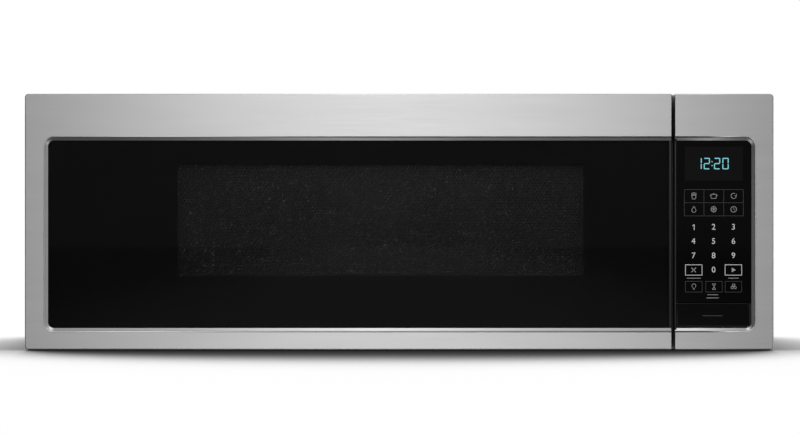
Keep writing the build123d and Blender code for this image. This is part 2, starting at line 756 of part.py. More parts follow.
# Choke cover: the moulded frame that faces the oven
cover_slot_gap = 1.5
hook_height = 8.0
with BuildPart() as choke_cover:
    with BuildSketch(upright(cover_front)):
        panel_outline((frame_left, frame_right), (frame_low, frame_high))
        with Locations((door_window_x, door_window_z)):
            Rectangle(inner_window_size[0] - 2 * inner_window_lap,
                      inner_window_size[1] - 2 * inner_window_lap, mode=Mode.SUBTRACT)
        for level in hook_levels:
            half_slot = hook_width / 2 + cover_slot_gap
            slot_top = level + hook_height / 2 + latch_travel + cover_slot_gap
            panel_outline((hook_x - half_slot, hook_x + half_slot), (level - hook_height, slot_top),
                          mode=Mode.SUBTRACT)
    extrude(amount=-cover_thickness)
save(choke_cover, "choke_cover")

# Latch hooks: one sliding bar with two hooks, and its spring above it
bar_front = web_y + sheet + seat_gap
bar_back = bar_front + 5.0
bar_top = hook_levels[1] + 14.0
hook_tip = door_back + hook_reach
with BuildPart() as latch_hooks:
    hook_span = (hook_x - hook_width / 2, hook_x + hook_width / 2)
    block(hook_span, (bar_front, bar_back), (hook_levels[0] - 14, bar_top))
    for level in hook_levels:
        with BuildSketch(Plane.YZ.offset(hook_span[0])):
            with BuildLine():
                half = hook_height / 2
                nose = level - hook_height
                Polyline((bar_back, level - half), (hook_tip - 6, level - half), (hook_tip - 6, nose),
                         (hook_tip - 2, nose), (hook_tip, level), (hook_tip - 4, level + half),
                         (bar_back, level + half), close=True)
            make_face()
        extrude(amount=hook_width)
save(latch_hooks, "latch_hooks")

# The coil, as the tube that it fills
spring_radius = 2.4
with BuildPart() as latch_spring:
    with BuildSketch(Plane.XY.offset(bar_top)):
        with Locations((hook_x, (bar_front + bar_back) / 2)):
            Circle(spring_radius)
            Circle(spring_radius - 0.8, mode=Mode.SUBTRACT)
    extrude(amount=frame_high - sheet - bar_top)
save(latch_spring, "latch_spring")

# Hinges: a foot behind the front plate, an arm through it and a pin into the door
foot_height = 22.0
foot_width = 34.0
foot_thickness = 3.0
for (low, high), name, upward in ((arm_levels[0], "lower_hinge", 1), (arm_levels[1], "upper_hinge", -1)):
    foot_low = low - 3 if upward > 0 else high + 3 - foot_height
    with BuildPart() as hinge:
        with BuildSketch(Plane.XY.offset(low)):
            with Locations((hinge_x, hinge_y)):
                Circle(hinge_arm_width / 2)
            panel_outline(arm_span, (hinge_y, face_y - 1.5))
            panel_outline(arm_inner, (hinge_y, cavity_front))
        extrude(amount=high - low)
        block((arm_inner[0], arm_inner[0] + foot_width), (cavity_front, cavity_front + foot_thickness),
              (foot_low, foot_low + foot_height))
        washer_low = high if upward > 0 else low - hinge_washer
        with BuildSketch(Plane.XY.offset(washer_low)):
            with Locations((hinge_x, hinge_y)):
                Circle(hinge_pin_radius + 2)
        extrude(amount=hinge_washer)
        pin_start = high if upward > 0 else low
        with BuildSketch(Plane.XY.offset(pin_start)):
            with Locations((hinge_x, hinge_y)):
                Circle(hinge_pin_radius)
        extrude(amount=upward * (hinge_washer + hinge_pin_length - 1))
    save(hinge, name)

# Control panel skin: the same folded sheet, open at its left edge where the key glass is
with BuildPart() as panel_skin:
    with BuildSketch(upright(front)):
        panel_outline((panel_left, right), (door_low, door_high))
    extrude(amount=-(face_y - front))
    fillet(panel_skin.edges().filter_by(Axis.Y).group_by(Axis.X)[-1], corner_radius)
    front_edges = panel_skin.faces().sort_by(Axis.Y)[0].edges()
    fillet(front_edges.sort_by(Axis.X)[1:], edge_radius)
    fillet(panel_skin.faces().sort_by(Axis.Y)[0].edges().sort_by(Axis.X)[0], sheet * 0.9)
    block((panel_left + sheet, right - sheet), (front + sheet, back),
          (door_low + sheet, door_high - sheet), mode=Mode.SUBTRACT)
    with BuildSketch(upright(front + sheet / 2)):
        panel_outline((panel_left + sheet / 2, bevel_right + sheet),
                      (bevel_low - sheet, bevel_high + sheet))
    extrude(amount=-(bevel_drop - sheet / 2))
    with BuildSketch(upright(front)):
        panel_outline((panel_left - 2 * bevel_radius, bevel_right), (bevel_low, bevel_high), bevel_radius)
    with BuildSketch(upright(glass_front)):
        panel_outline((panel_left - 2 * bevel_radius + bevel_width, bevel_right - bevel_width),
                      (bevel_low + bevel_width, bevel_high - bevel_width), glass_radius)
    loft(mode=Mode.SUBTRACT)
    block((panel_left - 1, panel_left + 2 * sheet), (glass_front - 1, back),
          (bevel_low, bevel_high), mode=Mode.SUBTRACT)
save(panel_skin, "panel_skin")

# Door button: a rocker cap along the bottom of the panel, pushed straight in
button_left = panel_left + 1.8
button_right = bevel_right - bevel_width - 2.7
button_low = bevel_low + bevel_width + 1.2
button_high = button_low + 24.0
button_travel = 5.0
button_cap = 3.0
button_air = 0.8
stem_span = (button_left + 20.0, button_left + 56.0)
stem_z = (button_low + 8.0, button_low + 16.0)
lever_pivot_y = face_y - 10.5
lever_pivot_z = stem_z[1] + 24.5
lever_thickness = 3.0
lever_pin_radius = 2.0
stem_end = lever_pivot_y - lever_thickness / 2 - seat_gap
with BuildPart() as door_open_button:
    with BuildSketch(upright(glass_front)):
        panel_outline((button_left, button_right), (button_low, button_high), 1.5)
    extrude(amount=-button_cap)
    fillet(door_open_button.faces().sort_by(Axis.Y)[0].edges(), 0.8)
    block(stem_span, (glass_front + button_cap, stem_end), stem_z)
save(door_open_button, "door_open_button")

# Key glass over the display and the touch keys
with BuildPart() as keypad_glass:
    with BuildSketch(upright(glass_front)):
        panel_outline((panel_left + 0.6, bevel_right), (button_high + button_air, bevel_high))
    extrude(amount=-glass_thickness)
save(keypad_glass, "keypad_glass")

# Panel housing: the moulded box behind the skin
housing_wall = 2.0
housing_left = panel_left + 1.2
housing_right = right - sheet - 0.2
housing_low = door_low + sheet + 0.5
housing_high = door_high - sheet - 0.5
front_wall_back = glass_back + housing_wall
display_x = panel_left + 39.8
display_z = bevel_high - 27.8
display_size = (62.0, 38.0)
board_y = glass_back + 14.0
board_thickness = 1.6
board_low = lever_pivot_z + 12.0
board_x = (housing_left + 4.0, housing_right - 4.0)
board_high = housing_high - 40.0
boss_inset = 6.0
boss_radius = 3.0
lever_span = (stem_span[0] + 1.0, stem_span[1] - 1.0)
ear_width = 3.0
ear_gap = 0.5
guide_y = stem_end - 9.0
with BuildPart() as panel_housing:
    with BuildSketch(upright(glass_back)):
        panel_outline((housing_left, housing_right), (housing_low, housing_high))
    extrude(amount=-(face_y - glass_back))
    block((housing_left + housing_wall, housing_right - housing_wall), (front_wall_back, back),
          (housing_low + housing_wall, housing_high - housing_wall), mode=Mode.SUBTRACT)
    with BuildSketch(upright(glass_back - 1)):
        with Locations((display_x, display_z)):
            Rectangle(display_size[0] + 1, display_size[1] + 1)
        panel_outline((housing_left - 1, button_right + button_air),
                      (button_low - button_air, button_high + button_air))
    extrude(amount=-(housing_wall + 1 + button_travel), mode=Mode.SUBTRACT)
    # The bosses of the control board
    boss_x = ((board_x[0] + board_x[1]) / 2, board_x[1] - board_x[0] - 2 * boss_inset)
    boss_z = ((board_low + board_high) / 2, board_high - board_low - 2 * boss_inset)
    with BuildSketch(upright(front_wall_back)):
        with Locations((boss_x[0], boss_z[0])):
            with GridLocations(boss_x[1], boss_z[1], 2, 2):
                Circle(boss_radius)
    extrude(amount=-(board_y - front_wall_back))
    # The guide of the button's stem and the two ears of the lever
    guide_z = (button_low - button_air - 4, button_high + button_air + 3)
    block((housing_left + 1, housing_right - 1), (guide_y, guide_y + housing_wall), guide_z)
    block((stem_span[0] - seat_gap, stem_span[1] + seat_gap), (guide_y - 1, guide_y + housing_wall + 1),
          (stem_z[0] - seat_gap, stem_z[1] + seat_gap), mode=Mode.SUBTRACT)
    for ear_x in (lever_span[0] - ear_gap - ear_width, lever_span[1] + ear_gap):
        block((ear_x, ear_x + ear_width), (glass_back + 1, lever_pivot_y + 4),
              (lever_pivot_z - 6, lever_pivot_z + 6))
    with BuildSketch(Plane.YZ.offset(panel_left + 2 * housing_wall)):
        with Locations((lever_pivot_y, lever_pivot_z)):
            Circle(lever_pin_radius + running_gap)
    extrude(amount=panel_width - 4 * housing_wall, mode=Mode.SUBTRACT)
save(panel_housing, "panel_housing")

# Opening lever: its lower arm is pushed back by the button's stem
with BuildPart() as open_lever:
    lever_low = stem_z[0] - 6.0
    block(lever_span, (lever_pivot_y - lever_thickness / 2, lever_pivot_y + lever_thickness / 2),
          (lever_low, lever_pivot_z + 9))
    with BuildSketch(Plane.YZ.offset(lever_span[0])):
        with Locations((lever_pivot_y, lever_pivot_z)):
            Circle(lever_pin_radius + 1.5)
    extrude(amount=lever_span[1] - lever_span[0])
    pin_reach = ear_gap + ear_width
    with BuildSketch(Plane.YZ.offset(lever_span[0] - pin_reach)):
        with Locations((lever_pivot_y, lever_pivot_z)):
            Circle(lever_pin_radius)
    extrude(amount=lever_span[1] - lever_span[0] + 2 * pin_reach)
save(open_lever, "open_lever")

with BuildPart() as display_module:
    with BuildSketch(upright(glass_back)):
        with Locations((display_x, display_z)):
            Rectangle(*display_size)
    extrude(amount=-(board_y - glass_back))
save(display_module, "display_module")

with BuildPart() as control_board:
    with BuildSketch(upright(board_y)):
        panel_outline(board_x, (board_low, board_high))
    extrude(amount=-board_thickness)
    board_back = board_y + board_thickness
    for place, size in (((-25, 60), (28, 24, 14)), ((12, 62), (20, 16, 15)), ((12, 40), (20, 16, 15)),
                        ((-24, 28), (34, 12, 8)), ((14, 15), (14, 18, 6))):
        with BuildSketch(upright(board_back)):
            with Locations((boss_x[0] + place[0], board_low + place[1])):
                Rectangle(size[0], size[1])
        extrude(amount=-size[2])
save(control_board, "control_board")

# Latch body behind the front plate, with the pockets that the hooks enter, and its switches
latch_x = (hook_x - 15.0, hook_x + 17.0)
latch_depth = 34.0
latch_z = (hook_levels[0] - 24.0, hook_levels[1] + 24.0)
with BuildPart() as latch_body:
    block(latch_x, (cavity_front, cavity_front + latch_depth), latch_z)
    for level in hook_levels:
        block((hook_x - hook_slot_width / 2, hook_x + hook_slot_width / 2),
              (cavity_front - 1, cavity_front + latch_depth - 4),
              (level - hook_slot_height / 2, level + hook_slot_height / 2), mode=Mode.SUBTRACT)
    block((hook_x - hook_slot_width / 2, hook_x + hook_slot_width / 2),
          (cavity_front + 10, cavity_front + latch_depth + 1),
          (hook_levels[0] + 24, hook_levels[1] - 24), mode=Mode.SUBTRACT)
save(latch_body, "latch_body")

switch_size = (10.0, 20.0, 28.0)
with BuildPart() as interlock_switches:
    for level in (hook_levels[0], (hook_levels[0] + hook_levels[1]) / 2, hook_levels[1]):
        switch_front = cavity_front + 6
        block((latch_x[1], latch_x[1] + switch_size[0]), (switch_front, switch_front + switch_size[1]),
              (level - switch_size[2] / 2, level + switch_size[2] / 2))
save(interlock_switches, "interlock_switches")

# Microwave feed: mica cover inside the oven, waveguide and magnetron outside it
guide_depth = 34.0
guide_x = (cavity_right + sheet, cavity_right + sheet + guide_depth)
guide_half_width = 40.0
guide_below = 27.0
guide_air = 25.0
magnetron_drop = 34.0
guide_span_y = (feed_y - guide_half_width, feed_y + guide_half_width)
guide_span_z = (feed_z - guide_below, case_ceiling - guide_air)
magnetron_z = guide_span_z[1] - magnetron_drop
mica_lap = 8.0
mica_thickness = 0.8
antenna_radius = 8.0
with BuildPart() as waveguide_cover:
    block((cavity_right - mica_thickness, cavity_right),
          (feed_y - feed_size[0] / 2 - mica_lap, feed_y + feed_size[0] / 2 + mica_lap),
          (feed_z - feed_size[1] / 2 - mica_lap, feed_z + feed_size[1] / 2 + mica_lap))
save(waveguide_cover, "waveguide_cover")

with BuildPart() as waveguide:
    block(guide_x, guide_span_y, guide_span_z)
    block((guide_x[0] - 1, guide_x[1] - sheet), (guide_span_y[0] + sheet, guide_span_y[1] - sheet),
          (guide_span_z[0] + sheet, guide_span_z[1] - sheet), mode=Mode.SUBTRACT)
    with BuildSketch(Plane.YZ.offset(guide_x[1] - 2 * sheet)):
        with Locations((feed_y, magnetron_z)):
            Circle(antenna_radius + 1)
    extrude(amount=3 * sheet, mode=Mode.SUBTRACT)
save(waveguide, "waveguide")

fin_count = 6
with BuildPart() as magnetron:
    yoke_x = (guide_x[1], guide_x[1] + 58.0)
    yoke_y = (feed_y - 40.0, feed_y + 40.0)
    yoke_z = (magnetron_z - 33.0, magnetron_z + 33.0)
    block(yoke_x, yoke_y, yoke_z)
    block((yoke_x[0] + 3, yoke_x[1] - 3), (yoke_y[0] - 1, yoke_y[1] + 1),
          (yoke_z[0] + 3, yoke_z[1] - 3), mode=Mode.SUBTRACT)
    with BuildSketch(Plane.YZ.offset(yoke_x[0])):
        with Locations((feed_y, magnetron_z)):
            Circle(18)
    extrude(amount=yoke_x[1] - yoke_x[0])
    fin_pitch = (yoke_x[1] - yoke_x[0] - 12) / fin_count
    for number in range(fin_count):
        fin_x = yoke_x[0] + 6 + fin_pitch * (number + 0.5)
        block((fin_x - 0.6, fin_x + 0.6), (yoke_y[0] + 2, yoke_y[1] - 2), (yoke_z[0] + 3, yoke_z[1] - 3))
    block((yoke_x[1], yoke_x[1] + 26), (feed_y - 24, feed_y + 24), (magnetron_z - 20, magnetron_z + 20))
    with BuildSketch(Plane.YZ.offset(guide_x[1] - 20)):
        with Locations((feed_y, magnetron_z)):
            Circle(antenna_radius)
    extrude(amount=20)
save(magnetron, "magnetron")

# High-voltage transformer: laminated core with two windings, then the capacitor and the diode
core_side_air = 54.0
core_setback = 82.0
core_x = inner_side - core_side_air
core_y = face_y + core_setback
core_width = 90.0
core_depth = 55.0
core_height = 75.0
core_limb = 15.0
core_foot = 4.0
foot_lip = 8.0
core_low = sheet + core_foot
winding_reach = 14.0
with BuildPart() as transformer_core:
    core_x_span = (core_x - core_width / 2, core_x + core_width / 2)
    core_y_span = (core_y - core_depth / 2, core_y + core_depth / 2)
    block(core_x_span, (core_y_span[0] - foot_lip, core_y_span[1] + foot_lip), (sheet, core_low))
    block(core_x_span, core_y_span, (core_low, core_low + core_height))
    for side in (-1, 1):
        window_x = core_x + side * 1.5 * core_limb
        block((window_x - core_limb / 2, window_x + core_limb / 2),
              (core_y - core_depth, core_y + core_depth),
              (core_low + core_limb, core_low + core_height - core_limb), mode=Mode.SUBTRACT)
save(transformer_core, "transformer_core")

with BuildPart() as transformer_windings:
    winding_low = core_low + core_limb + 0.5
    winding_high = core_low + core_height - core_limb - 0.5
    winding_middle = (winding_low + winding_high) / 2
    for low, high in ((winding_low, winding_middle - 1), (winding_middle + 1, winding_high)):
        with BuildSketch(Plane.XY.offset(low)):
            with Locations((core_x, core_y)):
                RectangleRounded(4 * core_limb - 1, core_depth + 2 * winding_reach, 8)
                Rectangle(2 * core_limb, core_depth, mode=Mode.SUBTRACT)
        extrude(amount=high - low)
save(transformer_windings, "transformer_windings")

capacitor_shift = (-16.0, 120.0)
capacitor_place = (core_x + capacitor_shift[0], core_y + capacitor_shift[1])
capacitor_height = 95.0
with BuildPart() as capacitor:
    with BuildSketch(Plane.XY.offset(sheet)):
        with Locations(capacitor_place):
            SlotOverall(54, 34)
    extrude(amount=capacitor_height)
    with BuildSketch(Plane.XY.offset(sheet + capacitor_height)):
        with Locations(capacitor_place):
            with GridLocations(20, 0, 2, 1):
                Rectangle(6, 1.2)
    extrude(amount=9)
save(capacitor, "capacitor")

with BuildPart() as diode:
    with BuildSketch(Plane.XY.offset(sheet)):
        with Locations((capacitor_place[0] + 42, capacitor_place[1])):
            Rectangle(9, 24)
    extrude(amount=8)
save(diode, "diode")

# Cooling fan: a shroud on the base, a motor behind it and a five-bladed wheel in its mouth
fan_setback = 60.0
fan_y = capacitor_place[1] + fan_setback
fan_radius = 46.0
fan_x = (cavity_right + inner_side) / 2
fan_z = sheet + 70.0
fan_blades = 5
fan_hub_radius = 12.0
fan_shaft_radius = 2.5
shroud_thickness = 1.5
fan_motor_y = fan_y + 16.0
with BuildPart() as cooling_fan_shroud:
    with BuildSketch(upright(fan_y)):
        panel_outline((fan_x - 56, fan_x + 56), (sheet, fan_z + 58))
        with Locations((fan_x, fan_z)):
            Circle(fan_radius + 3, mode=Mode.SUBTRACT)
    extrude(amount=-shroud_thickness)
    with BuildSketch(upright(fan_y)):
        with Locations((fan_x, fan_z)):
            Circle(fan_radius + 4.5)
            Circle(fan_radius + 3, mode=Mode.SUBTRACT)
    extrude(amount=-10)
    for side in (-1, 1):
        block((fan_x + side * (fan_radius + 4) - 3, fan_x + side * (fan_radius + 4) + 3),
              (fan_y, fan_motor_y + 4), (fan_z - 5, fan_z + 5))
    block((fan_x - fan_radius - 7, fan_x + fan_radius + 7), (fan_motor_y + 2, fan_motor_y + 4),
          (fan_z - 5, fan_z + 5))
    with BuildSketch(upright(fan_y)):
        with Locations((fan_x, fan_z)):
            Circle(fan_shaft_radius + 2)
    extrude(amount=-(fan_motor_y + 6 - fan_y), mode=Mode.SUBTRACT)
save(cooling_fan_shroud, "cooling_fan_shroud")

with BuildPart() as cooling_fan_motor:
    with BuildSketch(upright(fan_motor_y + 4)):
        with Locations((fan_x, fan_z)):
            Rectangle(46, 46)
            Circle(fan_shaft_radius + running_gap, mode=Mode.SUBTRACT)
    extrude(amount=-24)
save(cooling_fan_motor, "cooling_fan_motor")

with BuildPart() as cooling_fan_blade:
    with BuildSketch(upright(fan_y - 6)):
        with Locations((fan_x, fan_z)):
            Circle(fan_hub_radius)
    extrude(amount=-14)
    with Locations((fan_x, fan_y + 1, fan_z)):
        for number in range(fan_blades):
            with Locations(Rotation(0, number * 360 / fan_blades, 0)):
                with Locations(Location(((fan_hub_radius + fan_radius) / 2 - 1, 0, 0), (28, 0, 0))):
                    Box(fan_radius - fan_hub_radius, 1.4, 24)
    with BuildSketch(upright(fan_y - 6)):
        with Locations((fan_x, fan_z)):
            Circle(fan_shaft_radius)
    extrude(amount=-(fan_motor_y + 20 - fan_y))
save(cooling_fan_blade, "cooling_fan_blade")

# Line filter board on four posts behind the fan
filter_board = (84.0, 50.0)
filter_board_y = back_panel_y - 36.0
filter_board_low = sheet + 9.0
with BuildPart() as line_filter_board:
    with BuildSketch(Plane.XY.offset(filter_board_low)):
        with Locations((fan_x, filter_board_y)):
            Rectangle(*filter_board)
    extrude(amount=board_thickness)
    with BuildSketch(Plane.XY.offset(sheet)):
        with Locations((fan_x, filter_board_y)):
            with GridLocations(filter_board[0] - 10, filter_board[1] - 10, 2, 2):
                Circle(2.5)
    extrude(amount=filter_board_low - sheet)
    with BuildSketch(Plane.XY.offset(filter_board_low + board_thickness)):
        with Locations((fan_x - 20, filter_board_y), (fan_x + 16, filter_board_y)):
            Rectangle(26, 30)
    extrude(amount=22)
save(line_filter_board, "line_filter_board")

# Thermal cutouts on the oven roof, and the oven lamp on its left wall
with BuildPart() as thermal_cutouts:
    with BuildSketch(Plane.XY.offset(cavity_ceiling + sheet)):
        with Locations((cavity_x, cavity_y)):
            with GridLocations(180, 0, 2, 1):
                Circle(8)
    extrude(amount=6)
save(thermal_cutouts, "thermal_cutouts")

with BuildPart() as cavity_lamp:
    lamp_y = cavity_y + 60
    block((lamp_x - 24, lamp_x), (lamp_y - 24, lamp_y + 24), (cavity_ceiling - 55, cavity_ceiling - 15))
    block((lamp_x - 22, lamp_x + 1), (lamp_y - 22, lamp_y + 22),
          (cavity_ceiling - 53, cavity_ceiling - 17), mode=Mode.SUBTRACT)
    with BuildSketch(Plane.XY.offset(cavity_ceiling - 53)):
        with Locations((lamp_x - 12, lamp_y)):
            Circle(8)
    extrude(amount=26)
save(cavity_lamp, "cavity_lamp")

# Cooktop lamps: a lens in each opening of the base, with its board on top
lens_lap = 3.0
lens_flange = 1.5
with BuildPart() as cooktop_lamp_lenses:
    with BuildSketch(Plane.XY):
        with Locations((0, lamp_lens_y)):
            with GridLocations(2 * lamp_lens_x, 0, 2, 1):
                RectangleRounded(lamp_lens_size[0] - seat_gap, lamp_lens_size[1] - seat_gap, 4)
    extrude(amount=sheet)
    with BuildSketch(Plane.XY.offset(sheet)):
        with Locations((0, lamp_lens_y)):
            with GridLocations(2 * lamp_lens_x, 0, 2, 1):
                Rectangle(lamp_lens_size[0] + 2 * lens_lap, lamp_lens_size[1] + 2 * lens_lap)
    extrude(amount=lens_flange)
save(cooktop_lamp_lenses, "cooktop_lamp_lenses")

with BuildPart() as cooktop_lamp_boards:
    with BuildSketch(Plane.XY.offset(sheet + lens_flange)):
        with Locations((0, lamp_lens_y)):
            with GridLocations(2 * lamp_lens_x, 0, 2, 1):
                Rectangle(lamp_lens_size[0] - 16, lamp_lens_size[1] - 14)
    extrude(amount=board_thickness)
save(cooktop_lamp_boards, "cooktop_lamp_boards")

# Cord bushing in the top: only the opening, with its lip under the sheet
with BuildPart() as cord_bushing:
    with BuildSketch(Plane.XY.offset(height)):
        with Locations((cord_hole_x, cord_hole_y)):
            Circle(cord_hole_radius)
    extrude(amount=-sheet)
    with BuildSketch(Plane.XY.offset(case_ceiling)):
        with Locations((cord_hole_x, cord_hole_y)):
            Circle(cord_hole_radius + 3)
    extrude(amount=-3)
    with BuildSketch(Plane.XY.offset(height)):
        with Locations((cord_hole_x, cord_hole_y)):
            Circle(cord_hole_radius - 3.5)
    extrude(amount=-10, mode=Mode.SUBTRACT)
save(cord_bushing, "cord_bushing")

# Case screws: the pan heads on both sides of the case
with BuildPart() as case_screws:
    for side, y in ((side, y) for side in (-1, 1) for y in (face_y + 14, back_panel_y - screw_inset)):
        with BuildSketch(Plane.YZ.offset(side * case_side)):
            with Locations(*[(y, z) for z in screw_heights]):
                Circle(screw_head_radius)
        extrude(amount=side * screw_head_height)
save(case_screws, "case_screws")
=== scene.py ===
import math

import bmesh
import bpy
from mathutils import Matrix, Vector


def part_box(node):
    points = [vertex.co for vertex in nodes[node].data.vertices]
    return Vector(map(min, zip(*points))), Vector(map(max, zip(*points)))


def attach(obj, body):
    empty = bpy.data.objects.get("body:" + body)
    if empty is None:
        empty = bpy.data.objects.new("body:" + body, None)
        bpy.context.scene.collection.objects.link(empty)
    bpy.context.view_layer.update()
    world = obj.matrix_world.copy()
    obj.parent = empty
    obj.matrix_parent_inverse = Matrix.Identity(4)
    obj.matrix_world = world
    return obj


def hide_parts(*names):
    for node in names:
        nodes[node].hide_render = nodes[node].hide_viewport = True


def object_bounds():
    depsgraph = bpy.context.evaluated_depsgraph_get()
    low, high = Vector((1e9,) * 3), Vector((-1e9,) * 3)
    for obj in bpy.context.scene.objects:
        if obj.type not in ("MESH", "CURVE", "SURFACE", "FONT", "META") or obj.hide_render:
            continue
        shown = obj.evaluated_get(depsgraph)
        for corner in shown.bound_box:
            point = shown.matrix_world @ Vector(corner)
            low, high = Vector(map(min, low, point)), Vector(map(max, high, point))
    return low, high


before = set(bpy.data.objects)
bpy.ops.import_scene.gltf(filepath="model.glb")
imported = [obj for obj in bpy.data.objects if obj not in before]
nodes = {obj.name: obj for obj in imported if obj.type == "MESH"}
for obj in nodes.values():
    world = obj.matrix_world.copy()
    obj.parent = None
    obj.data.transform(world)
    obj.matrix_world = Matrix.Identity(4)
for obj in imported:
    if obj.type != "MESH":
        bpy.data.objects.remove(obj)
cad_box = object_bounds()
scene = bpy.context.scene


# Camera. The oven is seen square from the front, from a little above its middle and far enough
# back that neither its top nor its sides show: one pixel is 1.014 mm on its face.
frame_width = 800
pixel_size = 0.001014
camera_distance = 3.5
camera_side, camera_height = 0.0008, 0.1354
camera = bpy.data.cameras.new("camera")
camera.lens = camera.sensor_width * camera_distance / (frame_width * pixel_size)
camera_holder = bpy.data.objects.new("camera", camera)
camera_holder.location = (camera_side, cad_box[0][1] - camera_distance, camera_height)
camera_holder.rotation_euler = (math.radians(90), 0, 0)
scene.collection.objects.link(camera_holder)
scene.camera = camera_holder
scene.view_settings.view_transform = "Standard"


# Studio. A white room that is dark only in front and to the left, so that the black glass stays
# black, with one tall soft lamp in front and two behind for the back and the sides.
def node(tree, kind, settings=None, links=None, feeds=None):
    """Adds a node with its settings, its sockets' values or what feeds them, and what it feeds."""
    made = tree.nodes.new("ShaderNode" + kind)
    for name, value in (settings or {}).items():
        setattr(made, name, value)
    for name, value in (links or {}).items():
        if isinstance(value, bpy.types.NodeSocket):
            tree.links.new(value, made.inputs[name])
        else:
            made.inputs[name].default_value = value
    for name, socket in (feeds or {}).items():
        tree.links.new(made.outputs[name], socket)
    return made


white = (1, 1, 1, 1)
eased = {"interpolation_type": "SMOOTHSTEP"}
as_number = {"data_type": "FLOAT"}
share, number_a, number_b = 0, 2, 3  # the sockets of a mix of numbers
bright_way = (0.5, 0.87, 0.0)
fill_level = 0.42

room = bpy.data.worlds.new("studio")
room.use_nodes = True
scene.world = room
tree = room.node_tree
tree.nodes.clear()
rays = node(tree, "LightPath").outputs
towards = node(tree, "TexCoord").outputs["Generated"]
bright_end = node(tree, "VectorMath", {"operation": "DOT_PRODUCT"}, {0: towards, 1: bright_way})
mirrored = node(tree, "MapRange", eased,
                {"Value": bright_end.outputs["Value"], "From Min": -0.8, "From Max": 0.0,
                 "To Min": 0.05, "To Max": 1.0}).outputs[0]
sharp = node(tree, "Math", {"operation": "MAXIMUM"},
             {0: rays["Is Glossy Ray"], 1: rays["Is Transmission Ray"]}).outputs[0]
unseen = node(tree, "Mix", as_number,
              {share: sharp, number_a: fill_level, number_b: mirrored}).outputs[0]
shown = node(tree, "Mix", as_number,
             {share: rays["Is Camera Ray"], number_a: unseen, number_b: 1.0}).outputs[0]
surround = node(tree, "Background", links={"Color": white, "Strength": shown}).outputs[0]
node(tree, "OutputWorld", links={"Surface": surround})

for name, place, size, power in (
    ("key_lamp", (-0.02, -2.40, 1.35), (0.35, 1.6), 32.0),
    ("left_back_lamp", (-2.2, 2.4, 1.4), (1.2, 1.2), 40.0),
    ("right_back_lamp", (2.2, 2.4, 1.4), (1.2, 1.2), 40.0),
):
    lamp = bpy.data.lights.new(name, "AREA")
    lamp.shape = "RECTANGLE"
    lamp.size, lamp.size_y = size
    lamp.energy = power
    holder = bpy.data.objects.new(name, lamp)
    holder.location = place
    aim = Vector((0, 0, camera_height)) - Vector(place)
    holder.rotation_euler = aim.to_track_quat("-Z", "Y").to_euler()
    scene.collection.objects.link(holder)


# Floor. A pale paper sweep that shows white, with a soft dark shadow where the oven hides the room
# above and behind it. It mirrors as a dim pool of light in front, lights the oven's base, and is
# clear from underneath, so that the base shows.
floor_paint = bpy.data.materials.new("white_paper_sweep")
floor_paint.use_nodes = True
tree = floor_paint.node_tree
tree.nodes.clear()
leaning = node(tree, "CombineXYZ", links={"X": 0.0, "Y": 0.7, "Z": 0.71}).outputs[0]
hidden = node(tree, "AmbientOcclusion", {"samples": 48},
              {"Distance": 1.2, "Normal": leaning}).outputs["AO"]
shade = node(tree, "ValToRGB", links={0: hidden})
shade.color_ramp.interpolation = "B_SPLINE"
tones = shade.color_ramp.elements
shadow_tones = ((0.22, 0.006), (0.33, 0.024), (0.45, 0.060), (0.55, 0.15), (0.65, 0.40),
                (0.75, 0.86), (0.82, 1.0))
while len(tones) < len(shadow_tones):
    tones.new(0.5)
for tone, (place, level) in zip(tones, shadow_tones):
    tone.position = place
    tone.color = (level, level, level, 1)
lit = node(tree, "Emission", links={"Color": shade.outputs[0]}).outputs[0]
spot = node(tree, "SeparateXYZ", links={0: node(tree, "TexCoord").outputs["Object"]}).outputs
near = node(tree, "MapRange", eased, {"Value": spot["Y"], "From Min": -0.8, "From Max": -0.25,
                                      "To Min": 0.08, "To Max": 0.12}).outputs[0]
aside = node(tree, "Math", {"operation": "ABSOLUTE"}, {0: spot["X"]}).outputs[0]
pool = node(tree, "MapRange", eased, {"Value": aside, "From Min": 0.15, "From Max": 0.65,
                                      "To Min": 1.1, "To Max": 0.2}).outputs[0]
beneath = node(tree, "MapRange", eased, {"Value": spot["Y"], "From Min": -0.22, "From Max": -0.15,
                                         "To Min": 0.0, "To Max": 0.35}).outputs[0]
mirrored = node(tree, "Math", {"operation": "MULTIPLY_ADD"},
                {0: near, 1: pool, 2: beneath}).outputs[0]
rays = node(tree, "LightPath").outputs
sharp = node(tree, "Math", {"operation": "MAXIMUM"},
             {0: rays["Is Glossy Ray"], 1: rays["Is Transmission Ray"]}).outputs[0]
strength = node(tree, "Mix", as_number,
                {share: sharp, number_a: fill_level, number_b: mirrored}).outputs[0]
unseen = node(tree, "Emission", links={"Color": white, "Strength": strength}).outputs[0]
shown = node(tree, "MixShader", links={0: rays["Is Camera Ray"], 1: unseen, 2: lit}).outputs[0]
behind = node(tree, "NewGeometry").outputs["Backfacing"]
see_through = node(tree, "BsdfTransparent", links={"Color": white}).outputs[0]
from_above = node(tree, "MixShader", links={0: behind, 1: shown, 2: see_through}).outputs[0]
node(tree, "OutputMaterial", links={"Surface": from_above})

floor_drop, floor_reach = 0.0005, 12
sheet = bmesh.new()
bmesh.ops.create_grid(sheet, x_segments=1, y_segments=1, size=floor_reach,
                      matrix=Matrix.Translation((0, 0, cad_box[0][2] - floor_drop)))
floor_mesh = bpy.data.meshes.new("floor")
sheet.to_mesh(floor_mesh)
sheet.free()
floor_mesh.materials.append(floor_paint)
floor = bpy.data.objects.new("floor", floor_mesh)
scene.collection.objects.link(floor)


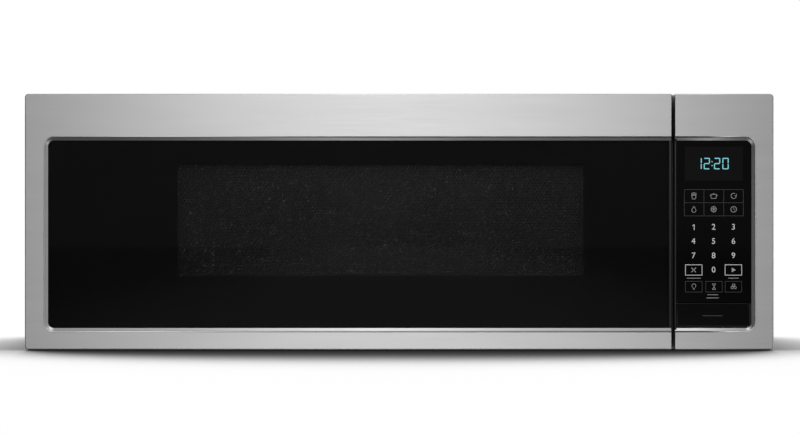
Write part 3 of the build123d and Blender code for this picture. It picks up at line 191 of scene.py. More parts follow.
# Case and front plate. Folded sheet steel with a baked black powder coat: a matt film with an
# orange peel 2 mm across, so that its highlights look slightly rubbed.
def linear(code):
    """The linear colour of an sRGB hex code."""
    parts = [int(code[i:i + 2], 16) / 255 for i in (0, 2, 4)]
    return [c / 12.92 if c <= 0.04045 else ((c + 0.055) / 1.055) ** 2.4 for c in parts] + [1.0]


def new_material(name, colour, **values):
    """A material with its tree, the piece's own coordinates and its main shader's sockets."""
    made = bpy.data.materials.new(name)
    made.use_nodes = True
    tree = made.node_tree
    tree.nodes.clear()
    links = {socket.replace("_", " "): value for socket, value in values.items()}
    shader = node(tree, "BsdfPrincipled", links={"Base Color": linear(colour), **links})
    node(tree, "OutputMaterial", links={"Surface": shader.outputs[0]})
    return made, tree, node(tree, "TexCoord").outputs["Object"], shader.inputs


def dress(finish, *names):
    """Gives CAD nodes a finish."""
    for name in names:
        slots = nodes[name].data.materials
        slots.clear()
        slots.append(finish)


as_colour = {"data_type": "RGBA"}
tint_a, tint_b, mixed = 6, 7, 2  # the sockets of a mix of colours, with the same share
powder_coat, tree, own, surface = new_material("powder_coated_steel", "1A1A1B", Roughness=0.5,
                                               IOR=1.5)
patches = node(tree, "TexNoise", links={"Vector": own, "Scale": 18.0}).outputs[0]
node(tree, "Mix", as_colour, {share: patches, tint_a: linear("131314"), tint_b: linear("212122")},
     {mixed: surface["Base Color"]})
peel = node(tree, "TexNoise", links={"Vector": own, "Scale": 500.0, "Detail": 3.0}).outputs[0]
node(tree, "MapRange", links={"Value": peel, "To Min": 0.34, "To Max": 0.66},
     feeds={0: surface["Roughness"]})
node(tree, "Bump", links={"Height": peel, "Distance": 0.00012}, feeds={0: surface["Normal"]})
dress(powder_coat, "outer_case", "front_plate")


# Case screws. Pan-head machine screws of black zinc-plated steel, one near each corner of both
# sides, each with a pressed cross recess that is not cut but drawn as a near-black cross laid on
# the head: painted shade.
def block(bm, middle, size, turned=Matrix()):
    """A box of the given size round a middle, turned about it."""
    placed = Matrix.Translation(middle) @ turned @ Matrix.Diagonal((*size, 1))
    bmesh.ops.create_cube(bm, size=1, matrix=placed)


def finished(bm, name, finish, body):
    """The piece that a bmesh holds, dressed and riding on its body."""
    bmesh.ops.remove_doubles(bm, verts=bm.verts, dist=0.000002)
    bmesh.ops.recalc_face_normals(bm, faces=bm.faces)
    mesh = bpy.data.meshes.new(name)
    bm.to_mesh(mesh)
    bm.free()
    mesh.materials.append(finish)
    piece = bpy.data.objects.new(name, mesh)
    scene.collection.objects.link(piece)
    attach(piece, body)
    return piece


plated, tree, own, surface = new_material("black_zinc_plated_steel", "353536", Metallic=1.0,
                                          Roughness=0.4)
haze = node(tree, "TexNoise", links={"Vector": own, "Scale": 300.0}).outputs[0]
node(tree, "Mix", as_colour, {share: haze, tint_a: linear("2A2A2B"), tint_b: linear("404041")},
     {mixed: surface["Base Color"]})
dress(plated, "case_screws")

# painted shade: the cross recesses are thin near-black blocks on the heads, mottled at random, in
# place of cut hollows
painted_recess_shade, tree, own, surface = new_material("painted_cross_recess_shade", "060606", Roughness=0.8)
shade_mottle = node(tree, "TexNoise", links={"Vector": own, "Scale": 900.0}).outputs[0]
node(tree, "Mix", as_colour, {share: shade_mottle, tint_a: linear("040404"), tint_b: linear("080808")},
     {mixed: surface["Base Color"]})
screw_low, screw_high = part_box("case_screws")
head_radius = 0.004
cross_length, cross_width, cross_depth = 0.0044, 0.0009, 0.00008
crosses = bmesh.new()
for x in (screw_low[0], screw_high[0]):
    for y in (screw_low[1] + head_radius, screw_high[1] - head_radius):
        for z in (screw_low[2] + head_radius, screw_high[2] - head_radius):
            block(crosses, (x, y, z), (cross_depth, cross_length, cross_width))
            block(crosses, (x, y, z), (cross_depth, cross_width, cross_length))
finished(crosses, "screw_recess_painted_shade", painted_recess_shade, "case")


# Steel behind and below. The back panel, mounting plate, base, ducts and brackets are pressed from
# hot-dip galvanised sheet: grey, with the zinc's pale crystal spangle about 8 mm across.
galvanised, tree, own, surface = new_material("galvanised_steel_sheet", "A9ABAC", Metallic=0.85,
                                              Roughness=0.42)
spangle = node(tree, "TexVoronoi", links={"Vector": own, "Scale": 120.0}).outputs["Color"]
tone = node(tree, "SeparateColor", links={0: spangle}).outputs[0]
node(tree, "Mix", as_colour, {share: tone, tint_a: linear("9A9C9E"), tint_b: linear("B6B8B9")},
     {mixed: surface["Base Color"]})
node(tree, "MapRange", links={"Value": tone, "To Min": 0.34, "To Max": 0.52},
     feeds={0: surface["Roughness"]})
dress(galvanised, "back_panel", "wall_mounting_plate", "base_plate", "exhaust_frame",
      "damper_flap", "waveguide", "blower_housing", "cooling_fan_shroud", "upper_hinge",
      "lower_hinge")


# Black mouldings. The top grille, door trim, choke cover, panel housing and small covers are
# injection-moulded ABS, left satin by the fine spark texture of the mould.
moulded_abs, tree, own, surface = new_material("moulded_black_abs", "121213", Roughness=0.34,
                                               IOR=1.53)
flow = node(tree, "TexNoise", links={"Vector": own, "Scale": 40.0}).outputs[0]
node(tree, "Mix", as_colour, {share: flow, tint_a: linear("0E0E0F"), tint_b: linear("161617")},
     {mixed: surface["Base Color"]})
spark = node(tree, "TexNoise", links={"Vector": own, "Scale": 900.0}).outputs[0]
node(tree, "MapRange", links={"Value": spark, "To Min": 0.26, "To Max": 0.42},
     feeds={0: surface["Roughness"]})
node(tree, "Bump", links={"Height": spark, "Distance": 0.00006}, feeds={0: surface["Normal"]})
dress(moulded_abs, "vent_grille", "door_edge_trim", "choke_cover", "panel_housing", "latch_body",
      "cord_bushing", "roller_ring", "interlock_switches", "capacitor", "cavity_lamp")


# Charcoal filter. A tray clipped under the top grille and filled with black carbon granules about
# 3 mm across, whose broken faces give it a dull, crumbly look.
charcoal, tree, own, surface = new_material("activated_carbon_granules", "161616", Roughness=0.85)
granule = node(tree, "TexVoronoi", links={"Vector": own, "Scale": 330.0}).outputs[0]
# painted shade: each granule is lighter in its middle and darker where it meets the next
node(tree, "Mix", as_colour, {share: granule, tint_a: linear("202020"), tint_b: linear("0E0E0E")},
     {mixed: surface["Base Color"]})
node(tree, "Bump", links={"Height": granule, "Distance": 0.0012}, feeds={0: surface["Normal"]})
dress(charcoal, "charcoal_filter")


# Grease filters. Slide-out frames of folded aluminium round layers of expanded aluminium foil. The
# real strands are under 1 mm wide; they are drawn in diamonds of 8 by 4 mm, so that they show.
def pierced(bm, sides, radius, hole_radius, placed):
    """A flat cell with a hole, both with the same number of sides."""
    rounds = [bmesh.ops.create_circle(bm, segments=sides, radius=reach, matrix=placed)["verts"]
              for reach in (radius, hole_radius)]
    rims = dict.fromkeys(edge for verts in rounds for vert in verts for edge in vert.link_edges)
    bmesh.ops.bridge_loops(bm, edges=list(rims))


def tiled(piece, ranks, thickness):
    """Repeats a flat cell over the lengths given with its steps, and makes the sheet thick."""
    for name, (length, step) in ranks.items():
        rank = piece.modifiers.new(name, "ARRAY")
        rank.count = math.ceil(length / max(step))
        rank.use_relative_offset = False
        rank.use_constant_offset = True
        rank.constant_offset_displace = step
        rank.use_merge_vertices = True
        rank.merge_threshold = 0.00002
    sheet = piece.modifiers.new("sheet", "SOLIDIFY")
    sheet.thickness = thickness
    sheet.offset = 0.0


aluminium, tree, own, surface = new_material("rolled_aluminium_sheet", "C6C8CA", Metallic=1.0,
                                             Roughness=0.35)
lengthwise = node(tree, "Mapping", links={"Vector": own, "Scale": (0.08, 1.0, 1.0)}).outputs[0]
mill = node(tree, "TexNoise", links={"Vector": lengthwise, "Scale": 400.0}).outputs[0]
node(tree, "Mix", as_colour, {share: mill, tint_a: linear("B4B6B8"), tint_b: linear("D6D8DA")},
     {mixed: surface["Base Color"]})
node(tree, "MapRange", links={"Value": mill, "To Min": 0.2, "To Max": 0.5},
     feeds={0: surface["Roughness"]})
dress(aluminium, "grease_filter_left", "grease_filter_right")

diamond_length, diamond_width, diamond_hole = 0.008, 0.004, 0.74
foil_rim, foil_thickness, foil_level = 0.011, 0.0005, 0.0026
for side in ("left", "right"):
    low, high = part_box("grease_filter_" + side)
    foil = bmesh.new()
    for shift in (0.5, 1.0):
        place = Matrix.Translation((low[0] + foil_rim + shift * diamond_length,
                                    low[1] + foil_rim + shift * diamond_width,
                                    low[2] + foil_level))
        pierced(foil, sides=4, radius=0.5, hole_radius=0.5 * diamond_hole,
                placed=place @ Matrix.Diagonal((diamond_length, diamond_width, 1, 1)))
    layer = finished(foil, "grease_filter_" + side + "_foil", aluminium, "filter_" + side)
    tiled(layer, {"columns": (high[0] - low[0] - 2 * foil_rim, (diamond_length, 0, 0)),
                  "rows": (high[1] - low[1] - 2 * foil_rim, (0, diamond_width, 0))},
          foil_thickness)


# Cooktop lamps. A frosted polycarbonate lens sits in each opening of the base and spreads the
# light of the small board above it, so that it looks milky and hides the board.
frosted, tree, own, surface = new_material("frosted_polycarbonate", "E6E6E2", Roughness=0.55,
                                           IOR=1.58, Transmission_Weight=0.25)
frost = node(tree, "TexNoise", links={"Vector": own, "Scale": 900.0}).outputs[0]
node(tree, "Bump", links={"Height": frost, "Distance": 0.00006}, feeds={0: surface["Normal"]})
dress(frosted, "cooktop_lamp_lenses")


# Oven cavity. Welded sheet steel, sprayed and baked with a light grey enamel paint that is finely
# speckled and wipes clean, the same on the inside of the door.
enamel, tree, own, surface = new_material("baked_enamel_paint", "A9A7A0", Roughness=0.32, IOR=1.5,
                                          Coat_Weight=0.3, Coat_Roughness=0.12)
speck = node(tree, "TexNoise", links={"Vector": own, "Scale": 700.0, "Detail": 1.0}).outputs[0]
node(tree, "Mix", as_colour, {share: speck, tint_a: linear("878580"), tint_b: linear("C4C2BA")},
     {mixed: surface["Base Color"]})
ripple = node(tree, "TexNoise", links={"Vector": own, "Scale": 260.0}).outputs[0]
node(tree, "Bump", links={"Height": ripple, "Distance": 0.00005}, feeds={0: surface["Normal"]})
dress(enamel, "oven_cavity", "door_inner_frame")


# Waveguide cover. A card of pressed mica flakes, screwed over the mouth that feeds the oven; the
# flakes give it a pearly, silvery-tan shine.
mica, tree, own, surface = new_material("pressed_mica_sheet", "B3A88E", Roughness=0.38, IOR=1.56)
flakes = node(tree, "TexVoronoi", links={"Vector": own, "Scale": 260.0}).outputs["Color"]
tone = node(tree, "SeparateColor", links={0: flakes}).outputs[0]
node(tree, "Mix", as_colour, {share: tone, tint_a: linear("A39879"), tint_b: linear("C4BBA3")},
     {mixed: surface["Base Color"]})
node(tree, "MapRange", links={"Value": tone, "To Min": 0.28, "To Max": 0.48},
     feeds={0: surface["Roughness"]})
dress(mica, "waveguide_cover")


# Motors and iron parts. The transformer core, motors, magnetron, spring and cut-outs are bare
# rolled or drawn steel, with a slightly oily grey shine and faint rolling lines.
bare_steel, tree, own, surface = new_material("rolled_bare_steel", "8E8E8D", Metallic=1.0,
                                              Roughness=0.4)
lengthwise = node(tree, "Mapping", links={"Vector": own, "Scale": (0.1, 1.0, 1.0)}).outputs[0]
rolled = node(tree, "TexNoise", links={"Vector": lengthwise, "Scale": 300.0}).outputs[0]
node(tree, "Mix", as_colour, {share: rolled, tint_a: linear("747473"), tint_b: linear("A6A6A5")},
     {mixed: surface["Base Color"]})
node(tree, "MapRange", links={"Value": rolled, "To Min": 0.25, "To Max": 0.58},
     feeds={0: surface["Roughness"]})
dress(bare_steel, "transformer_core", "magnetron", "blower_motor", "turntable_motor",
      "cooling_fan_motor", "latch_spring", "thermal_cutouts")


# Transformer windings. Enamelled copper wire wound in tight layers, so that the coil shows fine
# ridges and a warm shine. Its colour follows the ridges: painted shade darker in the grooves
# between turns, lighter on the crests.
copper, tree, own, surface = new_material("enamelled_copper_wire", "B06A3C", Metallic=1.0,
                                          Roughness=0.3)
turns = node(tree, "TexWave", {"bands_direction": "Z"},
             {"Vector": own, "Scale": 130.0}).outputs["Fac"]
node(tree, "Mix", as_colour, {share: turns, tint_a: linear("8C4E28"), tint_b: linear("C47A48")},
     {mixed: surface["Base Color"]})
node(tree, "Bump", links={"Height": turns, "Distance": 0.0004}, feeds={0: surface["Normal"]})
dress(copper, "transformer_windings")


# Circuit boards. Woven glass laminate under a green solder mask, which the weave mottles slightly.
# They are held on the housing's posts and behind the lamp lenses.
board, tree, own, surface = new_material("solder_masked_glass_laminate", "1F5A34", Roughness=0.35,
                                         IOR=1.5)
weave = node(tree, "TexNoise", links={"Vector": own, "Scale": 500.0, "Detail": 0.0}).outputs[0]
node(tree, "Mix", as_colour, {share: weave, tint_a: linear("154525"), tint_b: linear("2B6F43")},
     {mixed: surface["Base Color"]})
dress(board, "control_board", "line_filter_board", "cooktop_lamp_boards", "diode")


# White working parts. Latch hooks, lever, coupler, rollers and both fans are moulded in natural
# nylon: a milky white that lets a little light in and has a soft low shine.
white_nylon, tree, own, surface = new_material("moulded_white_nylon", "D8D6CE", Roughness=0.42,
                                               IOR=1.53, Subsurface_Weight=0.08,
                                               Subsurface_Radius=(0.002, 0.002, 0.0015))
flow = node(tree, "TexNoise", links={"Vector": own, "Scale": 60.0}).outputs[0]
node(tree, "Mix", as_colour, {share: flow, tint_a: linear("CAC8BE"), tint_b: linear("E4E2DC")},
     {mixed: surface["Base Color"]})
satin = node(tree, "TexNoise", links={"Vector": own, "Scale": 500.0}).outputs[0]
node(tree, "MapRange", links={"Value": satin, "To Min": 0.3, "To Max": 0.54},
     feeds={0: surface["Roughness"]})
dress(white_nylon, "latch_hooks", "open_lever", "drive_coupler", "roller_1", "roller_2",
      "roller_3", "cooling_fan_blade", "blower_wheels")


# Turntable tray and inner window. The tray is pressed from soda-lime glass and the window is a flat
# sheet of it: clear and faintly green, and lamps shine through so that what lies behind is lit.
def let_light_through(tree, tint):
    """Puts a see-through shader before the output for rays that look for lamps."""
    output = next(n for n in tree.nodes if n.type == "OUTPUT_MATERIAL")
    glass = output.inputs[0].links[0].from_socket
    clear = node(tree, "BsdfTransparent", links={"Color": tint}).outputs[0]
    shadow = node(tree, "LightPath").outputs["Is Shadow Ray"]
    node(tree, "MixShader", links={0: shadow, 1: glass, 2: clear}, feeds={0: output.inputs[0]})


soda_glass, tree, *_ = new_material("pressed_soda_lime_glass", "E4F0EA", Roughness=0.02, IOR=1.52,
                                    Transmission_Weight=1.0)
let_light_through(tree, linear("E4F0EA"))
dress(soda_glass, "glass_tray", "inner_window")


# Stainless front. The door's skin and the control panel's skin are folded from 1 mm sheet and
# brushed sideways, so light spreads upright and fades towards the two ends. The real scratches are
# about 0.1 mm apart; they are drawn 1 mm apart, so that they show.
brushed, tree, own, surface = new_material("brushed_stainless_steel", "C4C4C4", Metallic=1.0,
                                           Roughness=0.56, Anisotropic=0.80,
                                           Anisotropic_Rotation=0.25)
drawn_out = node(tree, "Mapping", links={"Vector": own, "Scale": (0.012, 1.0, 1.0)}).outputs[0]
scratches = node(tree, "TexNoise", links={"Vector": drawn_out, "Scale": 1000.0, "Detail": 3.0,
                                          "Roughness": 0.7}).outputs[0]
drawn_wide = node(tree, "Mapping", links={"Vector": own, "Scale": (0.12, 1.0, 1.0)}).outputs[0]
cloud = node(tree, "TexNoise", links={"Vector": drawn_wide, "Scale": 60.0}).outputs[0]
both = node(tree, "Mix", as_number,
            {share: 0.35, number_a: scratches, number_b: cloud}).outputs[0]
node(tree, "Mix", as_colour, {share: both, tint_a: linear("B5B5B5"), tint_b: linear("D1D1D1")},
     {mixed: surface["Base Color"]})
node(tree, "MapRange", links={"Value": scratches, "To Min": 0.49, "To Max": 0.63},
     feeds={0: surface["Roughness"]})
node(tree, "Tangent", {"direction_type": "RADIAL", "axis": "Z"}, feeds={0: surface["Tangent"]})
dress(brushed, "door_skin", "panel_skin")


# Rolled rim. The steel turns down to the glass over a small round shoulder, which catches a thin
# bright line on both sides. It is one ring, cut where the door and the panel part.
def outline(bm, x_span, z_span, radius, y, segments=6):
    """A flat rounded rectangle that faces forward, as one face."""
    before = set(bm.faces)
    (left, right), (low, high) = x_span, z_span
    corners = [bm.verts.new((x, y, z))
               for x, z in ((left, low), (right, low), (right, high), (left, high))]
    bm.faces.new(corners)
    if radius:
        bmesh.ops.bevel(bm, geom=corners, offset=radius, offset_type="OFFSET", segments=segments,
                        profile=0.5, affect="VERTICES", material=-1)
    return [f for f in bm.faces if f not in before]


def inner(span, inset):
    """A span made shorter by an inset at both ends."""
    return span[0] + inset, span[1] - inset


def thicken(bm, faces, depth):
    """Pulls flat faces back by a depth to make them a closed plate."""
    pulled = bmesh.ops.extrude_face_region(bm, geom=faces, use_keep_orig=True)["geom"]
    verts = [part for part in pulled if isinstance(part, bmesh.types.BMVert)]
    bmesh.ops.translate(bm, vec=(0, depth, 0), verts=verts)


def terraced(bm, x_span, z_span, radius, steps):
    """A ring whose loops step in from a rounded rectangle, each given as (inset, y)."""
    loops = []
    for inset, y in steps:
        faces = outline(bm, inner(x_span, inset), inner(z_span, inset), radius - inset, y)
        loops.append([e for f in faces for e in f.edges])
        bmesh.ops.delete(bm, geom=faces, context="FACES_ONLY")
    ring = []
    for edges, further in zip(loops, loops[1:]):
        ring += bmesh.ops.bridge_loops(bm, edges=edges + further)["faces"]
    for face in ring:
        face.smooth = True
    return ring


glass_low, glass_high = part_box("door_glass")
panel_low, panel_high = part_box("keypad_glass")
skin_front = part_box("door_skin")[0][1]
rim_radius, rim_thickness = 0.0105, 0.0002
# how far in from the edge of the recess the shoulder is, and how deep it lies there
shoulder = ((0.00005, 0.0), (0.0005, 0.00007), (0.0010, 0.00020), (0.0014, 0.00044),
            (0.0017, 0.00095))
for name, body, cut, way in (("door_rim", "door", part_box("door_skin")[1][0], 1),
                             ("panel_rim", "case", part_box("panel_skin")[0][0], -1)):
    rim = bmesh.new()
    ring = terraced(rim, (glass_low[0], panel_high[0]), (glass_low[2], glass_high[2]), rim_radius,
                    [(inset, skin_front + drop) for inset, drop in shoulder])
    thicken(rim, ring, rim_thickness)
    bmesh.ops.bisect_plane(rim, geom=[*rim.verts, *rim.edges, *rim.faces], plane_co=(cut, 0, 0),
                           plane_no=(way, 0, 0), clear_outer=True)
    bmesh.ops.holes_fill(rim, edges=rim.edges)
    finished(rim, name, brushed, body)


# Door glass. One sheet of grey tempered glass across the whole door, polished flat and glued to
# the inner frame; lamps shine through it onto the screen behind.
tinted_glass, tree, *_ = new_material("tinted_tempered_glass", "D1D1D1", Roughness=0.0, IOR=1.45,
                                      Transmission_Weight=1.0)
let_light_through(tree, linear("D1D1D1"))
dress(tinted_glass, "door_glass")


# Printed border of the door glass. Black ceramic ink fired into its back, with a clear window left
# in the middle. It lies in the glass, so it is as smooth and black as the glass itself.
def band(bm, outside, inside, y, depth, radii=(0, 0)):
    """A flat ring between two rounded rectangles, each given as (x span, z span)."""
    edges = []
    for spans, radius in zip((outside, inside), radii):
        faces = outline(bm, *spans, radius, y)
        edges += [e for f in faces for e in f.edges]
        bmesh.ops.delete(bm, geom=faces, context="FACES_ONLY")
    ring = bmesh.ops.bridge_loops(bm, edges=edges)["faces"]
    thicken(bm, ring, depth)


fired_ink, tree, own, surface = new_material("fired_black_ceramic_ink", "070708", Roughness=0.1,
                                             IOR=1.5)
firing = node(tree, "TexNoise", links={"Vector": own, "Scale": 30.0}).outputs[0]
node(tree, "Mix", as_colour, {share: firing, tint_a: linear("050506"), tint_b: linear("0A0A0A")},
     {mixed: surface["Base Color"]})
window_x, window_z = (-0.2252, 0.1872), (0.0752, 0.1898)
window_radius = 0.003
ink_thickness, ink_cover = 0.0001, 0.00015
border = bmesh.new()
band(border, ((glass_low[0], glass_high[0]), (glass_low[2], glass_high[2])), (window_x, window_z),
     glass_high[1] - ink_cover, ink_thickness, (0, window_radius))
finished(border, "door_glass_border", fired_ink, "door")


# Door screen. Thin steel sheet painted black and punched with rows of round holes that keep the
# microwaves in. The real holes are about 2 mm apart; they are drawn six-sided and 3.4 mm apart,
# so that they show and stay few enough.
screen_paint, tree, own, surface = new_material("black_painted_steel", "161617", Roughness=0.25,
                                                IOR=1.5)
coat = node(tree, "TexNoise", links={"Vector": own, "Scale": 80.0}).outputs[0]
node(tree, "Mix", as_colour, {share: coat, tint_a: linear("121213"), tint_b: linear("1A1A1B")},
     {mixed: surface["Base Color"]})
screen_low, screen_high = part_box("door_screen")
screen_middle = (screen_low[1] + screen_high[1]) / 2
screen_thickness = screen_high[1] - screen_low[1]
hole_pitch = 0.0034
hole_radius = 0.27 * hole_pitch
row_pitch = hole_pitch * math.sqrt(3) / 2
web = bmesh.new()
for step, row in ((0, 0), (0.5, 1)):
    place = Matrix.Translation((window_x[0] + step * hole_pitch, screen_middle,
                                window_z[0] + row * row_pitch))
    pierced(web, sides=6, radius=hole_pitch / math.sqrt(3), hole_radius=hole_radius,
            placed=place @ Matrix.Rotation(math.radians(90), 4, "X"))
perforation = finished(web, "door_screen_perforation", screen_paint, "door")
tiled(perforation, {"columns": (window_x[1] - window_x[0], (hole_pitch, 0, 0)),
                    "rows": (window_z[1] - window_z[0], (0, 0, 2 * row_pitch))},
      screen_thickness)
plate_lap, plate_proud = 0.0012, 0.0001
plate = bmesh.new()
band(plate, ((screen_low[0], screen_high[0]), (screen_low[2], screen_high[2])),
     (inner(window_x, plate_lap), inner(window_z, plate_lap)),
     screen_low[1] - plate_proud, screen_thickness + 2 * plate_proud, (0, window_radius))
finished(plate, "door_screen_surround", screen_paint, "door")
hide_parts("door_screen")


# Control glass. The touch panel is one piece of black-backed glass, flush in the stainless skin,
# with a thin black moulded lip where it meets the door.
black_glass, tree, own, surface = new_material("black_backed_glass", "070708", Roughness=0.04,
                                               IOR=1.5)
backing = node(tree, "TexNoise", links={"Vector": own, "Scale": 25.0}).outputs[0]
node(tree, "Mix", as_colour, {share: backing, tint_a: linear("050506"), tint_b: linear("09090A")},
     {mixed: surface["Base Color"]})
dress(black_glass, "keypad_glass")
lip_middle = (0.2802, panel_low[1], 0.1174)
lip_size = (0.0013, 0.0010, 0.1900)
lip = bmesh.new()
block(lip, lip_middle, lip_size)
finished(lip, "panel_edge_lip", moulded_abs, "case")


# Display window. Smoked acrylic behind the control glass: it hides what is not lit, and is only a
# little greyer than the glass round it.
smoked, tree, own, surface = new_material("smoked_acrylic", "101011", Roughness=0.06, IOR=1.49)
cast = node(tree, "TexNoise", links={"Vector": own, "Scale": 25.0}).outputs[0]
node(tree, "Mix", as_colour, {share: cast, tint_a: linear("0E0E0F"), tint_b: linear("131314")},
     {mixed: surface["Base Color"]})
print_depth = 0.00006
print_front = panel_low[1] - print_depth
display_x, display_z = (0.2898, 0.3486), (0.1719, 0.2063)
pane_radius, pane_drop, pane_depth = 0.0006, 0.00002, 0.00004
pane = bmesh.new()
thicken(pane, outline(pane, display_x, display_z, pane_radius, print_front + pane_drop),
        pane_depth)
finished(pane, "display_window", smoked, "case")
dress(smoked, "display_module")


# Clock. Light bars in the display's glass, lit a pale blue-green, spell the time. Each digit is
# made of up to seven bars 1 mm wide: a to f run round it clockwise from the top, g is across.
glow = new_material("lit_display_bar", "4C8A90", Roughness=0.3, Emission_Strength=0.6,
                    Emission_Color=linear("88D4DE"))[0]
bar, bar_end, bar_gap, bar_radius = 0.0010, 0.0006, 0.0004, 0.00035
digit_low, digit_high = 0.1833, 0.1949
digit_half = (digit_high - digit_low) / 2
levels = {"a": digit_high - bar / 2, "g": digit_low + digit_half, "d": digit_low + bar / 2}
clock_digits = ((0.3050, 0.3070, "bc"), (0.3090, 0.3153, "abged"), (0.3194, 0.3257, "abged"),
                (0.3279, 0.3343, "abcdef"))
colon_x, colon_levels, colon_radius = (0.3169, 0.3180), (0.1871, 0.1911), 0.0003
clock_front, clock_depth = print_front - 0.00004, 0.00008
clock = bmesh.new()
for near_x, far_x, lit_bars in clock_digits:
    for lit in lit_bars:
        if lit in levels:
            spans = inner((near_x, far_x), bar_end), (levels[lit] - bar / 2, levels[lit] + bar / 2)
        else:
            side = far_x - bar if lit in "bc" else near_x
            low = digit_low + digit_half if lit in "bf" else digit_low
            spans = (side, side + bar), (low + bar_gap, low + digit_half - bar_gap)
        thicken(clock, outline(clock, *spans, bar_radius, clock_front, segments=3), clock_depth)
for level in colon_levels:
    spans = colon_x, (level - bar / 2, level + bar / 2)
    thicken(clock, outline(clock, *spans, colon_radius, clock_front, segments=3), clock_depth)
finished(clock, "display_time", glow, "case")


# Key numbers. Digits in light grey ink, screen-printed on the glass and screened back, so that
# they read soft against the black, and with them the bright frames of the stop and start keys.
def stroke(bm, start, end, width):
    """A straight printed line between two places on the glass."""
    way = Vector((end[0] - start[0], 0, end[1] - start[1]))
    middle = ((start[0] + end[0]) / 2, print_front + print_depth / 2, (start[1] + end[1]) / 2)
    block(bm, middle, (way.length + width, print_depth, width),
          Matrix.Rotation(-math.atan2(way.z, way.x), 4, "Y"))


def ruled(bm, x_span, z_span, line):
    """A thin square frame."""
    band(bm, (x_span, z_span), (inner(x_span, line), inner(z_span, line)), print_front,
         print_depth)


grey_ink, tree, own, surface = new_material("screen_printed_grey_ink", "C2C2C2", Roughness=0.5)
screening = node(tree, "TexNoise", links={"Vector": own, "Scale": 900.0}).outputs[0]
node(tree, "Mix", as_colour,
     {share: screening, tint_a: linear("B4B4B4"), tint_b: linear("D0D0D0")},
     {mixed: surface["Base Color"]})
column_x = (0.2986, 0.3190, 0.3391)
row_z = (0.1246, 0.1102, 0.0956, 0.0812)
digit_size, ink_spread = 0.0082, 0.00004
places = {str(key): (column_x[(key - 1) % 3], row_z[(key - 1) // 3]) for key in range(2, 10)}
places["0"] = (column_x[1], row_z[3])
numbers = bmesh.new()
for digit, (x, z) in places.items():
    words = bpy.data.curves.new("digit", "FONT")
    words.body = digit
    words.align_x, words.align_y = "CENTER", "CENTER"
    words.size = digit_size
    words.offset = ink_spread
    words.extrude = print_depth / 2
    holder = bpy.data.objects.new("digit", words)
    scene.collection.objects.link(holder)
    bpy.context.view_layer.update()
    drawn = bpy.data.meshes.new_from_object(holder)
    bpy.data.objects.remove(holder)
    drawn.transform(Matrix.Translation((x, print_front + print_depth / 2, z))
                    @ Matrix.Rotation(math.radians(90), 4, "X"))
    numbers.from_mesh(drawn)
# the one is a plain upright with a short flag
one = Vector((column_x[0] + 0.0003, row_z[0]))
upright_width, flag_width = 0.0008, 0.0006
stroke(numbers, one + Vector((0.0004, -0.0025)), one + Vector((0.0004, 0.0025)), upright_width)
stroke(numbers, one + Vector((-0.0002, 0.0022)), one + Vector((-0.0011, 0.0015)), flag_width)
stop_key_x, start_key_x, stop_key_z = (0.2902, 0.3076), (0.3304, 0.3478), (0.0756, 0.0867)
bright_line = 0.0006
for span in (stop_key_x, start_key_x):
    ruled(numbers, span, stop_key_z, bright_line)
finished(numbers, "keypad_numbers", grey_ink, "case")


# Key frames. A grid round the six cooking keys and three boxes below, in the same ink printed
# thinner, so that it is only just lighter than the glass.
dim_ink, tree, own, surface = new_material("screen_printed_dim_ink", "2C2C2D", Roughness=0.5)
screening = node(tree, "TexNoise", links={"Vector": own, "Scale": 900.0}).outputs[0]
node(tree, "Mix", as_colour,
     {share: screening, tint_a: linear("262627"), tint_b: linear("323233")},
     {mixed: surface["Base Color"]})
frame_line, line_gap = 0.00045, 0.0006
grid_x = (0.2891, 0.3092, 0.3293, 0.3494)
grid_z = (0.1358, 0.1494, 0.1630)
low_key_x = ((0.2902, 0.3076), (0.3108, 0.3280), (0.3306, 0.3477))
low_key_z = (0.0585, 0.0698)
faint = bmesh.new()
ruled(faint, (grid_x[0], grid_x[3]), (grid_z[0], grid_z[2]), frame_line)
stroke(faint, (grid_x[0] + line_gap, grid_z[1]), (grid_x[3] - line_gap, grid_z[1]), frame_line)
for x in grid_x[1:3]:
    for low, high in zip(grid_z, grid_z[1:]):
        stroke(faint, (x, low + line_gap), (x, high - line_gap), frame_line)
for span in low_key_x:
    ruled(faint, span, low_key_z, frame_line)
finished(faint, "keypad_faint_frames", dim_ink, "case")


# Key signs. Small line drawings, one for each key, in a darker grey of the same ink: what the key
# does is drawn and not written.
def arc(bm, centre, radius, width, start=0.0, turn=360.0):
    """A printed ring or part of one; angles run anticlockwise from the right."""
    whole = turn == 360.0
    along = Matrix.Rotation(-math.radians(start), 4, "Y")
    front, back = print_front, print_front + print_depth
    near_edge, far_edge = radius - width / 2, radius + width / 2
    cut = [bm.verts.new(Vector((centre[0], y, centre[1])) + along @ Vector((reach, 0, 0)))
           for y, reach in ((front, near_edge), (front, far_edge), (back, far_edge),
                            (back, near_edge))]
    face = bm.faces.new(cut)
    pivot = (centre[0], 0, centre[1])
    bmesh.ops.spin(bm, geom=[face, *face.verts, *face.edges], cent=pivot, axis=(0, -1, 0),
                   angle=math.radians(turn), steps=20, use_merge=whole)
    if whole:
        bmesh.ops.delete(bm, geom=[face], context="FACES_ONLY")


def dot(bm, centre, radius, segments=12, turn=0.0):
    """A printed disc, or a regular shape with few sides."""
    placed = (Matrix.Translation((centre[0], print_front, centre[1]))
              @ Matrix.Rotation(-math.radians(turn), 4, "Y")
              @ Matrix.Rotation(math.radians(90), 4, "X"))
    made = bmesh.ops.create_circle(bm, cap_ends=True, segments=segments, radius=radius,
                                   matrix=placed)
    thicken(bm, list({f for v in made["verts"] for f in v.link_faces}), print_depth)


def lines(bm, centre, width, *runs):
    """Printed lines through places given in millimetres from a sign's middle."""
    for run in runs:
        spots = [(centre[0] + x / 1000, centre[1] + z / 1000) for x, z in run]
        for start, end in zip(spots, spots[1:]):
            stroke(bm, start, end, width)


